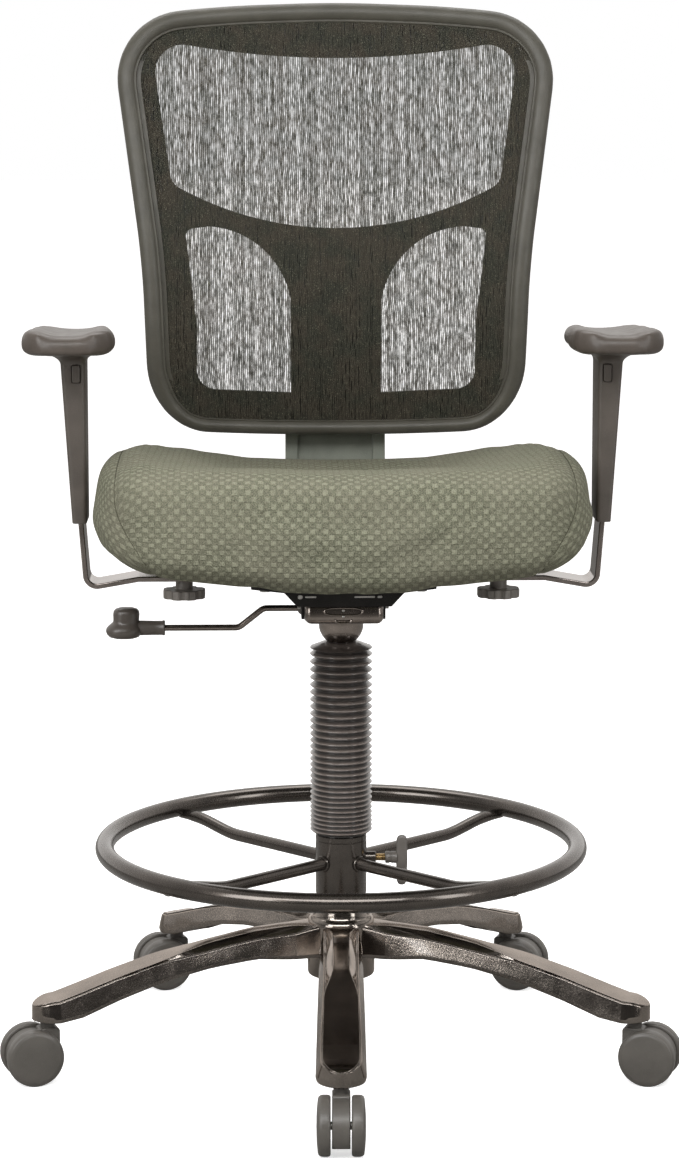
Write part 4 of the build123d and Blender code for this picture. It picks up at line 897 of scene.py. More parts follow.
@dataclass
class Assembly:
    """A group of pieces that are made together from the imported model."""

    nodes: dict[str, bpy.types.Object]

    def copied(self, node: str) -> bmesh.types.BMesh:
        """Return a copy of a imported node's mesh, in metres, without doubled points.

        Args:
            node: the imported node.

        Returns:
            The copy.
        """
        form = bmesh.new()
        form.from_mesh(self.nodes[node].data)
        bmesh.ops.remove_doubles(form, verts=form.verts, dist=WELD)
        return form

    def merged(self, node: str) -> bmesh.types.BMesh:
        """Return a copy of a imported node's mesh, in metres, with its flat faces whole.

        Args:
            node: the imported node.

        Returns:
            The copy.
        """
        form = self.copied(node)
        limit = math.radians(FLAT_ANGLE)
        bmesh.ops.dissolve_limit(form, angle_limit=limit, verts=form.verts, edges=form.edges)
        return form

    def softened(
        self, node: str, finish: Finish, body: str, width: float, segments: int = 2
    ) -> bpy.types.Object:
        """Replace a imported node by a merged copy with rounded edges.

        Args:
            node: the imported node.
            finish: what the copy is made of.
            body: the body it rides on.
            width: the width of the rounding.
            segments: how many faces make up the rounding.

        Returns:
            The new piece.
        """
        piece = make_piece(node + "_shape", self.merged(node), finish, body, (node,), scale=1.0)
        bevel_live(piece, width, segments)
        return piece


# ---------------------------------------------------------------------------
# Base and casters
# ---------------------------------------------------------------------------
@dataclass
class StarBase(Assembly):
    """Five cast arms with a spine that opens into a flat panel, round a turned hub."""

    arms: int = 5
    tip_radius: float = 25.5
    tip_drop: float = 7.0
    start: float = 28.0
    sections: int = 19
    section_gap: float = 14.0
    wall: float = 5.0
    hollow_end: float = 290.0
    arm_from: float = 60.0
    side_from: float = 62.0
    side_slope: float = 0.45
    elbow_from: float = 37.5
    elbow_radius: float = 6.0
    panel: Sequence[Pair] = ((28, 17), (56, 9), (145, 8), (212, 18.0), (310, 18.8))
    facet: Sequence[Pair] = ((28, 1.0), (60, 6.5), (145, 6.0), (212, 1.3), (330, 1.0))

    def turn(self) -> float:
        """Return how far the base stands turned under the seat, in radians."""
        front = middle("caster_front_stem")
        return math.atan2(front.y, front.x) + math.pi / 2

    def build(self) -> None:
        """Make the casting and put it on the base."""
        skin = Surface(self.nodes["base_star"])
        low, high = corners("base_star")
        reach = -low.y
        facing = Matrix.Rotation(self.turn() - math.pi / 2, 3, "Z")
        arm = lofted([
            self.section(skin, facing, distance, reach) for distance in self.distances(reach)
        ])
        wedge = math.pi / self.arms
        for sign in (-1, 1):
            bmesh.ops.bisect_plane(
                arm, geom=arm.verts[:] + arm.edges[:] + arm.faces[:], plane_co=(0, 0, 0),
                plane_no=(-math.sin(wedge), sign * math.cos(wedge), 0), clear_outer=True,
            )
        spread = [Matrix.Rotation(2 * wedge * index, 4, "Z") for index in range(self.arms)]
        star = welded(repeated(arm, spread), 0.02)
        self.fillet_elbows(star)
        whole = gathered(star, self.hub(high.z))
        bmesh.ops.transform(whole, matrix=facing.to_4x4(), verts=whole.verts)
        piece = make_piece("base_casting", whole, GUNMETAL, "base", ("base_star",), crease=30)
        piece.data.materials.append(CAST_SIDE.material())
        side_to = reach - 1.3 * self.tip_radius
        for face in piece.data.polygons:
            far = face.center.xy.length / MM
            upright = abs(face.normal.z) < self.side_slope
            face.material_index = int(upright and self.side_from < far < side_to)
        bevel_live(piece, 0.7, 2, 28)

    def distances(self, reach: float) -> list[float]:
        """Return the distances from the axis at which the arm has a section.

        Args:
            reach: how far the arm's tip is from the axis.

        Returns:
            The distances in rising order, closer together round the tip.
        """
        straight = [self.start + self.section_gap * step for step in range(self.sections)]
        round_start = reach - self.tip_radius
        tip = [
            round_start + self.tip_radius * math.sin(math.radians(angle))
            for angle in range(10, 90, 10)
        ]
        return straight + [self.hollow_end, self.hollow_end + 1, round_start] + tip + [reach - 0.02]

    def section(self, skin: Surface, facing: Matrix, distance: float, reach: float) -> list[Vector]:
        """Return the arm's outline at a distance from the axis, arm along +X.

        Args:
            skin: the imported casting's skin, which gives the arm's height and width.
            facing: the turn from the arm that lies along +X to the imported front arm.
            distance: how far the outline is from the axis.
            reach: how far the arm's tip is from the axis.

        Returns:
            The points in order round it.
        """
        measured = min(max(distance, self.arm_from), reach - self.tip_radius - 1)
        top = skin.hit(facing @ Vector((measured, 0, FAR)), -UP).z
        bottom = skin.hit(facing @ Vector((measured, 21, 0)), UP).z
        inwards = facing @ -REARWARDS
        half_top, half_bottom = (
            abs((facing.inverted() @ skin.hit(facing @ Vector((measured, 60, height)), inwards)).y)
            for height in (top - 1.5, bottom + 1.5)
        )
        past = max(distance - (reach - self.tip_radius), 0) / self.tip_radius
        narrow = math.sqrt(max(1 - past * past, 1e-6))
        top -= self.tip_drop * past * past
        drop = along(distance, self.facet)
        panel = along(distance, self.panel)
        hollow = distance <= self.hollow_end
        ceiling = top - drop - self.wall if hollow else bottom + 0.2
        middle_ceiling = top - self.wall if hollow else bottom + 0.2
        half = [
            (panel, top),
            (half_top - 3.4, top - drop),
            (half_top - 2.8, top - drop - 0.9),
            (half_top - 1.8, top - drop - 0.1),
            (half_top - 0.3, top - drop - 1.0),
            (half_top + 0.3, top - drop - 3.2),
            (half_bottom - 0.9, bottom + 8),
            (half_bottom, bottom + 4),
            (half_bottom - 1.2, bottom),
            (half_bottom - self.wall, bottom),
            (half_top - self.wall, ceiling),
        ]
        right = [Vector((distance, side * narrow, height)) for side, height in half]
        left = [Vector((distance, -side * narrow, height)) for side, height in reversed(half)]
        over = Vector((distance, 0, top + 0.3))
        under = Vector((distance, 0, middle_ceiling))
        return [over] + right + [under] + left

    def fillet_elbows(self, star: bmesh.types.BMesh) -> None:
        """Round the corners in which neighbouring arms meet.

        Args:
            star: the five arms, joined.
        """
        wedge = 2 * math.pi / self.arms
        elbows = []
        for edge in star.edges:
            turns = (math.atan2(vert.co.y, vert.co.x) - wedge / 2 for vert in edge.verts)
            stray = max(abs(math.remainder(turn, wedge)) for turn in turns)
            rise = abs(edge.verts[0].co.z - edge.verts[1].co.z)
            far = min(vert.co.xy.length for vert in edge.verts)
            if stray < 1e-3 and rise > 2 and far > self.elbow_from:
                elbows.append(edge)
        bmesh.ops.bevel(
            star, geom=elbows, offset=self.elbow_radius, offset_type="OFFSET", segments=4,
            profile=0.5, affect="EDGES", material=-1, clamp_overlap=True,
        )

    def hub(self, top: float) -> bmesh.types.BMesh:
        """Return the turned hub with the bore that the column stands in."""
        profile = (
            (25.06, 92.0), (25.06, top - 0.6), (25.7, top), (27.5, top), (28.3, top - 0.8),
            (29.8, 154.6), (30.8, 152.8), (33.4, 151.4), (35.2, 148.8), (36.0, 145.0),
            (36.0, 92.0), (35.0, 89.2), (32.5, 88.0), (23.0, 88.0), (22.0, 88.6), (22.0, 92.0),
        )
        return turned(profile, 80)


@dataclass
class CasterSet(Assembly):
    """Twin wheels with a rim line and a hub cap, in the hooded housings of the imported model."""

    joints: Sequence[dict] = ()
    names: Sequence[str] = ("front", "left", "rear_left", "rear_right", "right")
    inner: float = 10.3
    wheel: Sequence[Pair] = (
        (0.0, 14.0), (9.0, 13.85), (17.0, 13.45), (24.0, 12.8), (26.6, 12.5), (27.0, 12.15),
        (27.6, 12.1), (28.0, 12.0), (28.8, 11.2), (29.7, 9.6), (30.0, 7.6), (30.0, 3.6),
        (29.7, 1.7), (28.9, 0.5), (27.6, 0.0), (26.0, 0.0), (26.0, 7.0), (8.0, 7.0),
        (8.0, 0.0), (4.25, 0.0), (4.25, 11.5), (0.0, 11.5),
    )

    def build(self) -> None:
        """Make the pairs of wheels."""
        rolls = {joint["name"]: joint for joint in self.joints}
        for name in self.names:
            axis = Vector(rolls[f"caster_{name}_roll"]["axis"]).normalized()
            side = Matrix.Translation(middle(f"caster_{name}_axle"))
            side = side @ axis.to_track_quat("Z", "Y").to_matrix().to_4x4()
            flip = Matrix.Rotation(math.pi, 4, "X")
            out = Matrix.Translation((0, 0, self.inner))
            pair = repeated(turned(self.wheel, 72, ring=False), (side @ out, side @ flip @ out))
            make_piece(
                f"caster_{name}_twin_wheels", pair, CASTER_NYLON, f"caster_{name}_wheel_pair",
                (f"caster_{name}_wheels",),
            )


# ---------------------------------------------------------------------------
# Column, bellows and foot ring
# ---------------------------------------------------------------------------
@dataclass
class Bellows(Assembly):
    """Rubber bellows with round-crested folds that open towards the top."""

    folds: int = 30
    spread: float = 1.95
    crest: float = 33.0
    valley: float = 27.4
    tight_valley: float = 30.6
    skin: float = 0.9
    cap: float = 9.0
    wave: Sequence[Pair] = (
        (0.0, 0.0), (0.12, 0.14), (0.36, 0.78), (0.45, 0.96), (0.50, 1.0), (0.55, 0.96),
        (0.64, 0.78), (0.88, 0.14),
    )

    def build(self) -> None:
        """Make the bellows."""
        low, high = corners("bellows")
        shares = [index / (self.folds - 1) for index in range(self.folds)]
        steps = [between(1, self.spread, share) for share in shares]
        unit = (high.z - self.cap - low.z) / sum(steps)
        outer = []
        rises = {}
        base = low.z
        for share, step in zip(shares, steps):
            valley = between(self.tight_valley, self.valley, share)
            for part, rise in self.wave:
                outer.append((between(valley, self.crest, rise), base + part * step * unit))
                rises[round(outer[-1][1], 2)] = rise
            base += step * unit
        outer.append((self.valley, base))
        inner = [(radius - self.skin, height) for radius, height in reversed(outer)]
        top = [
            (self.crest - 0.9, base + 1.6), (self.crest, base + 2.3),
            (self.crest - 0.7, base + 3.2), (22.0, high.z - 1.6), (17.0, high.z),
            (14.4, high.z), (14.4, high.z - 1.6),
        ]
        form = turned(outer + top + inner, 64)
        piece = make_piece("bellows_folds", form, RUBBER, None, ("bellows",), crease=60)
        # The crest share drives the rubber's painted shade and painted highlight.
        crests = piece.data.attributes.new("crest", "FLOAT", "POINT")
        for vertex, crest in zip(piece.data.vertices, crests.data):
            crest.value = rises.get(round(vertex.co.z / MM, 2), 0.5)
        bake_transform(piece)


@dataclass
class FootRing(Assembly):
    """Tube ring on four cranked spokes, welded to a hub that clamps on the column."""

    turn: float = 0.0
    tube: float = 10.0
    spokes: int = 4
    spoke: float = 6.5
    knee: Pair = (160.0, 232.0)
    flat: Pair = (26.0, 9.0)
    flat_wider: float = 0.22
    flat_thinner: float = 0.34
    flat_sink: float = 0.6
    bead: float = 1.7
    thread_radius: float = 4.0
    thread_depth: float = 0.45
    thread_step: float = 0.75
    collar: Sequence[Pair] = (
        (0.0, 0.0), (5.6, 0.0), (6.4, 0.8), (6.4, 4.2), (5.9, 4.6), (5.9, 6.4), (6.4, 6.8),
        (6.4, 12.5), (0.0, 12.5),
    )
    wing: Sequence[Triple] = (
        (0.0, 2.2, 1.6), (0.02, 4.0, 2.6), (0.08, 5.2, 2.9), (0.30, 5.6, 3.0), (0.42, 6.0, 4.6),
        (0.55, 6.0, 5.2), (0.68, 6.0, 4.6), (0.80, 5.9, 3.0), (0.92, 5.6, 2.9), (0.98, 4.2, 2.6),
        (1.0, 2.2, 1.6),
    )
    wing_corner: float = 2.6

    def build(self) -> None:
        """Make the ring, the spokes with their weld beads, the hub and the clamp."""
        low, high = corners("foot_ring")
        radius = (high.x - low.x) / 2 - self.tube
        centre = Vector((radius, (high.z + low.z) / 2, 0))
        circle = [point[:2] for point in oval(centre, ASIDE, REARWARDS, (self.tube,) * 2, 24)]
        make_piece("foot_ring_tube", turned(circle, 144), TITANIUM, "foot_rest", ("foot_ring",))
        self.build_spokes(radius)
        self.build_hub()
        self.build_clamp()

    def build_spokes(self, ring_radius: float) -> None:
        """Make the spokes, flattened where they meet the ring, and their weld beads.

        Args:
            ring_radius: the radius of the ring's middle line.
        """
        low, high = corners("foot_ring_spokes")
        start_z = low.z + self.spoke
        end_z = high.z - self.spoke
        hub = corners("foot_ring_hub")[1].y
        path = []
        radii = []
        steps = 40
        for step in range(steps + 1):
            out = hub - 1 + (ring_radius - 1 - hub) * step / steps
            flat = ease(out, ring_radius - self.flat[0], ring_radius - self.flat[1])
            height = between(start_z, end_z, ease(out, *self.knee)) - self.flat_sink * flat
            path.append(Vector((out, 0, height)))
            wide = self.spoke * (1 + self.flat_wider * flat)
            radii.append((wide, self.spoke * (1 - self.flat_thinner * flat)))
        bar = rod(path, radii)
        seam = turned(self.bead_profile(self.spoke + 0.7), 24)
        lay = Matrix.Translation((hub + 0.7, 0, start_z)) @ Matrix.Rotation(math.pi / 2, 4, "Y")
        bmesh.ops.transform(seam, matrix=lay, verts=seam.verts)
        places = [
            Matrix.Rotation(self.turn + math.pi * (0.25 + index / 2), 4, "Z")
            for index in range(self.spokes)
        ]
        whole = repeated(gathered(bar, seam), places)
        make_piece("foot_ring_arms", whole, TITANIUM, "foot_rest", ("foot_ring_spokes",))

    def bead_profile(self, radius: float) -> list[Pair]:
        """Return the oval section of a weld bead of this radius."""
        half = (self.bead, self.bead * 0.8)
        return [point[:2] for point in oval(ASIDE * radius, ASIDE, REARWARDS, half)]

    def build_hub(self) -> None:
        """Make the hub's sleeve with its turned grooves, and the boss for the clamp screw."""
        low, high = corners("foot_ring_hub")
        outer = high.y
        top = high.z
        profile = (
            (25.06, low.z + 0.4), (25.06, top - 0.5), (25.5, top), (outer - 0.6, top),
            (outer, top - 0.6), (outer, top - 4.9), (outer - 0.7, top - 5.3),
            (outer - 0.7, top - 6.1), (outer, top - 6.5), (outer, low.z + 4.5),
            (outer - 0.5, low.z + 3.0), (outer - 1.8, low.z), (25.5, low.z),
        )
        sleeve = turned(profile, 72)
        boss_from = 26.0
        length = high.x - boss_from
        boss = turned(
            ((4.06, 0.0), (6.4, 0.0), (6.4, length - 0.6), (5.8, length), (4.06, length)), 32
        )
        bmesh.ops.transform(boss, matrix=self.screw_lay(boss_from), verts=boss.verts)
        whole = gathered(sleeve, boss)
        make_piece("foot_ring_sleeve", whole, TITANIUM, "foot_rest", ("foot_ring_hub",))

    def screw_lay(self, out: float) -> Matrix:
        """Return the place on the clamp screw's axis this far from the column's, Z outwards."""
        lay = Matrix.Translation((out, 0, middle("clamp_screw").z))
        return Matrix.Rotation(self.turn, 4, "Z") @ lay @ Matrix.Rotation(math.pi / 2, 4, "Y")

    def build_clamp(self) -> None:
        """Make the threaded screw and the winged handle that turns it."""
        low, high = corners("clamp_screw")
        length = high.x - low.x
        turns = int(length / self.thread_step) - 2
        thread = [
            (self.thread_radius - self.thread_depth * (index % 2), 1.0 + self.thread_step * index)
            for index in range(turns)
        ]
        profile = [(0.0, 0.0), (3.1, 0.0)] + thread + [(3.6, length), (0.0, length)]
        screw = turned(profile, 24, ring=False)
        bmesh.ops.transform(screw, matrix=self.screw_lay(low.x), verts=screw.verts)
        make_piece("clamp_thread", screw, BRASS, "foot_ring_clamp", ("clamp_screw",))
        collar = turned(self.collar, 32, ring=False)
        bmesh.ops.transform(collar, matrix=self.screw_lay(high.x), verts=collar.verts)
        handle_low, handle_high = corners("clamp_handle")
        rings = []
        for share, wide, thick in self.wing:
            height = between(handle_low.z, handle_high.z, share)
            centre = Vector((handle_high.x - 6.2, 0, height))
            rings.append(rounded_ring(centre, ASIDE, REARWARDS, (wide, thick), self.wing_corner))
        wing = lofted(rings)
        bmesh.ops.transform(wing, matrix=Matrix.Rotation(self.turn, 4, "Z"), verts=wing.verts)
        whole = gathered(collar, wing)
        make_piece("clamp_wing", whole, BLACK_NYLON, "foot_ring_clamp", ("clamp_handle",))


# ---------------------------------------------------------------------------
# Tilt mechanism and height lever
# ---------------------------------------------------------------------------
@dataclass
class TiltMechanism(Assembly):
    """Pressed tub with rounded corners, its socket, the embossed nose and the seat plate."""

    rounding: float = 6.5
    wall: float = 3.0
    floor: float = 474.0
    core: Triple = (0.0, -30.0, 500.0)
    socket: Sequence[Pair] = (
        (14.1, 450.5), (15.6, 450.7), (18.4, 454.0), (20.8, 457.6), (22.5, 461.2), (23.3, 464.5),
        (23.5, 468.0), (23.7, 471.5), (25.2, 474.2), (25.2, 477.0), (13.6, 478.0),
    )
    slot_height: float = 502.2
    lip_height: float = 494.6
    rivet_heights: Pair = (503.2, 497.0)
    rivet: Sequence[Pair] = ((0.0, 1.5), (1.0, 1.2), (1.5, 0.5), (1.6, 0.0), (0.0, 0.0))
    clips: Sequence[Triple] = (
        (-40.0, -28.5, 1.1), (10.0, 31.0, 1.1), (33.5, 38.5, 1.3), (-47.5, -42.5, 2.2),
    )

    def build(self) -> None:
        """Make the tub, the socket, the nose's emboss and the plate's bright clips."""
        low, high = corners("tilt_case")
        tub = bmesh.new()
        outline = (
            (low.y, high.z), (low.y, 489.5), (-24.0, self.floor), (high.y, self.floor),
            (high.y, 493.0), (-60.0, 514.0), (-80.0, high.z),
        )
        left, right = (
            [tub.verts.new((sign * high.x, y, z)) for y, z in outline] for sign in (-1, 1)
        )
        tub.faces.new(left)
        tub.faces.new(list(reversed(right)))
        for index in range(4):
            tub.faces.new([left[index], left[index + 1], right[index + 1], right[index]])
        bmesh.ops.recalc_face_normals(tub, faces=tub.faces)
        core = Vector(self.core)
        if sum(face.normal.dot(face.calc_center_median() - core) for face in tub.faces) < 0:
            bmesh.ops.reverse_faces(tub, faces=tub.faces)
        piece = make_piece("tilt_tub", tub, MECHANISM_STEEL, "tilt_mechanism", ("tilt_case",))
        bevel_live(piece, self.rounding, 5)
        shell = piece.modifiers.new("wall", "SOLIDIFY")
        shell.thickness = self.wall * MM
        shell.offset = -1
        self.build_socket()
        self.build_nose(low.y)
        self.softened("seat_plate", PLATE_ENAMEL, "seat", 0.7)
        self.build_clips()

    def build_socket(self) -> None:
        """Make the bowl that the column's taper sits in."""
        make_piece("tilt_socket", turned(self.socket, 72), MECHANISM_STEEL, "tilt_mechanism")

    def build_nose(self, front: float) -> None:
        """Emboss the slot, the lip under it and two rivets on the nose of the tub.

        Args:
            front: where the nose is along Y.
        """
        slot = self.loop_bead(Vector((-1, front - 0.2, self.slot_height)), 19.5, 3.9, 1.0, 0, 360)
        lip = self.loop_bead(Vector((-1, front - 0.2, self.lip_height)), 8.5, 4.4, 0.9, 190, 350)
        rivets = []
        for height in self.rivet_heights:
            dot = turned(self.rivet, 16, ring=False)
            lay = Matrix.Translation((-1, front, height)) @ Matrix.Rotation(math.pi / 2, 4, "X")
            bmesh.ops.transform(dot, matrix=lay, verts=dot.verts)
            rivets.append(dot)
        make_piece("tilt_nose_emboss", gathered(slot, lip), MECHANISM_STEEL, "tilt_mechanism")
        make_piece("tilt_nose_rivets", gathered(*rivets), ZINC, "tilt_mechanism")

    def loop_bead(
        self, centre: Vector, wide: float, high: float, thick: float, start: int, end: int
    ) -> bmesh.types.BMesh:
        """Return a rounded bead along part of an oval on the nose.

        Args:
            centre: the oval's middle.
            wide: half its width.
            high: half its height.
            thick: the bead's radius.
            start: the angle it starts at, in degrees.
            end: the angle it ends at; a full turn closes the bead.

        Returns:
            The closed form.
        """
        closed = end - start == 360
        count = 40
        rings = []
        for step in range(count if closed else count + 1):
            angle = math.radians(start + (end - start) * step / count)
            out = Vector((math.cos(angle), 0, math.sin(angle)))
            squeeze = abs(math.cos(angle)) ** 0.6 * math.copysign(1, math.cos(angle))
            spot = centre + Vector((wide * squeeze, 0, high * math.sin(angle)))
            rings.append(oval(spot, out, REARWARDS, (thick, thick)))
        return lofted(rings, closed)

    def build_clips(self) -> None:
        """Make the bright spring clips that show in the slots of the seat plate's lip."""
        low, high = corners("seat_plate")
        clips = []
        for start, end, tall in self.clips:
            centre = Vector(((start + end) / 2, low.y + 0.1, high.z - 7.8))
            rings = []
            for depth, inset in ((1.0, 0.0), (-0.5, 0.0), (-0.9, 0.35)):
                half = ((end - start) / 2 - inset, tall - inset)
                place = centre + REARWARDS * depth
                rings.append(rounded_ring(place, ASIDE, UP, half, tall * 0.9))
            clips.append(lofted(rings))
        make_piece("seat_plate_clips", gathered(*clips), ZINC, "seat")


@dataclass
class HeightLever(Assembly):
    """Moulded paddle with a domed stem on a wide rounded foot, on the bent lever rod."""

    rod_height: float = 465.0
    heights: Sequence[tuple[float, float, float, float]] = (
        (0.04, 18.2, 7.0, 6.6), (0.05, 18.2, 11.5, 11.0), (0.09, 18.0, 15.6, 14.8),
        (0.17, 17.8, 18.0, 16.8), (0.26, 17.7, 19.0, 17.6), (0.35, 17.8, 18.6, 17.0),
        (0.43, 18.2, 16.6, 15.0), (0.49, 18.9, 14.8, 13.4), (0.54, 19.8, 13.8, 12.4),
        (0.60, 20.2, 13.6, 12.2), (0.80, 20.4, 13.9, 12.4), (0.89, 20.4, 13.4, 11.9),
        (0.95, 20.4, 11.6, 10.2), (0.99, 20.4, 7.6, 6.6), (1.0, 20.4, 3.0, 2.6),
    )
    sleeve: Sequence[Pair] = (
        (3.4, 0.0), (7.6, 0.0), (8.1, 0.6), (8.1, 1.8), (7.6, 2.6), (7.6, 12.0), (7.9, 24.5),
        (7.9, 33.0), (3.4, 34.0),
    )

    def build(self) -> None:
        """Make the paddle and its sleeve."""
        low, high = corners("lever_paddle")
        rings = []
        for share, out, wide, deep in self.heights:
            centre = Vector((low.x + out, 0, between(low.z, high.z, share)))
            rings.append(rounded_ring(centre, ASIDE, REARWARDS, (wide, deep), deep * 0.9, 6))
        sleeve = turned(self.sleeve, 36)
        lay = Matrix.Translation((high.x, 0, self.rod_height))
        lay = lay @ Matrix.Rotation(-math.pi / 2, 4, "Y")
        bmesh.ops.transform(sleeve, matrix=lay, verts=sleeve.verts)
        whole = gathered(lofted(rings), sleeve)
        make_piece("lever_grip", whole, SLEEVE_NYLON, "height_lever", ("lever_paddle",))


# ---------------------------------------------------------------------------
# Soft goods
# ---------------------------------------------------------------------------
@dataclass
class Upholstery(Assembly):
    """Ways to turn a packed soft solid into a stuffed piece."""

    filling_frames: int = 20

    def remeshed(
        self, node: str, name: str, finish: Finish, body: str, voxel: float
    ) -> bpy.types.Object:
        """Return a stuffed piece's first shape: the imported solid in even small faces.

        Args:
            node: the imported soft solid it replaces.
            name: the piece's name.
            finish: its cloth or skin.
            body: the body it rides on.
            voxel: the size of the faces.

        Returns:
            The new piece, still unsewn.
        """
        form = self.copied(node)
        piece = make_piece(name, form, finish, body, (node,), scale=1.0, crease=180)
        remesh = piece.modifiers.new("even", "REMESH")
        remesh.mode = "VOXEL"
        remesh.voxel_size = voxel * MM
        remesh.use_smooth_shade = True
        applied(piece)
        return piece

    def smoothed(self, piece: bpy.types.Object, times: int, factor: float = 0.5) -> None:
        """Relax a piece's faces this many times.

        Args:
            piece: the piece to relax.
            times: how often each vertex moves.
            factor: how far it moves towards its neighbours.
        """
        form = bmesh.new()
        form.from_mesh(piece.data)
        for _ in range(times):
            bmesh.ops.smooth_vert(
                form, verts=form.verts, factor=factor,
                use_axis_x=True, use_axis_y=True, use_axis_z=True,
            )
        form.to_mesh(piece.data)
        form.free()

    def moved(self, piece: bpy.types.Object, shift: Callable[[Vector, Vector], Vector]) -> None:
        """Move each vertex by a rule on its place and its normal, both in millimetres.

        Args:
            piece: the piece to shape.
            shift: gives the move for a place and a normal.
        """
        moves = [shift(vertex.co / MM, vertex.normal) * MM for vertex in piece.data.vertices]
        for vertex, move in zip(piece.data.vertices, moves):
            vertex.co += move
        piece.data.update()

    def stuffed(self, piece: bpy.types.Object, pressure: float, cap: float) -> None:
        """Args:
            piece: the piece to fill.
            pressure: how hard the filling presses.
            cap: how far a point may move from its start.
        """
        start = [vertex.co.copy() for vertex in piece.data.vertices]
        cloth = piece.modifiers.new("filling", "CLOTH")
        settings = cloth.settings
        settings.quality = 4
        settings.mass = 0.3
        settings.tension_stiffness = 30
        settings.compression_stiffness = 30
        settings.bending_stiffness = 2.0
        settings.use_pressure = True
        settings.uniform_pressure_force = pressure
        settings.effector_weights.gravity = 0
        cloth.collision_settings.use_collision = False
        scene = bpy.context.scene
        for frame_number in range(self.filling_frames):
            scene.frame_set(frame_number + 1)
        graph = bpy.context.evaluated_depsgraph_get()
        swollen = [vertex.co.copy() for vertex in piece.evaluated_get(graph).data.vertices]
        piece.modifiers.remove(cloth)
        scene.frame_set(1)
        for vertex, old, new in zip(piece.data.vertices, start, swollen):
            move = new - old
            if move.length > cap * MM:
                move *= cap * MM / move.length
            vertex.co = old + move
        piece.data.update()
        log.info("%s: stuffed at pressure %.1f", piece.name, pressure)


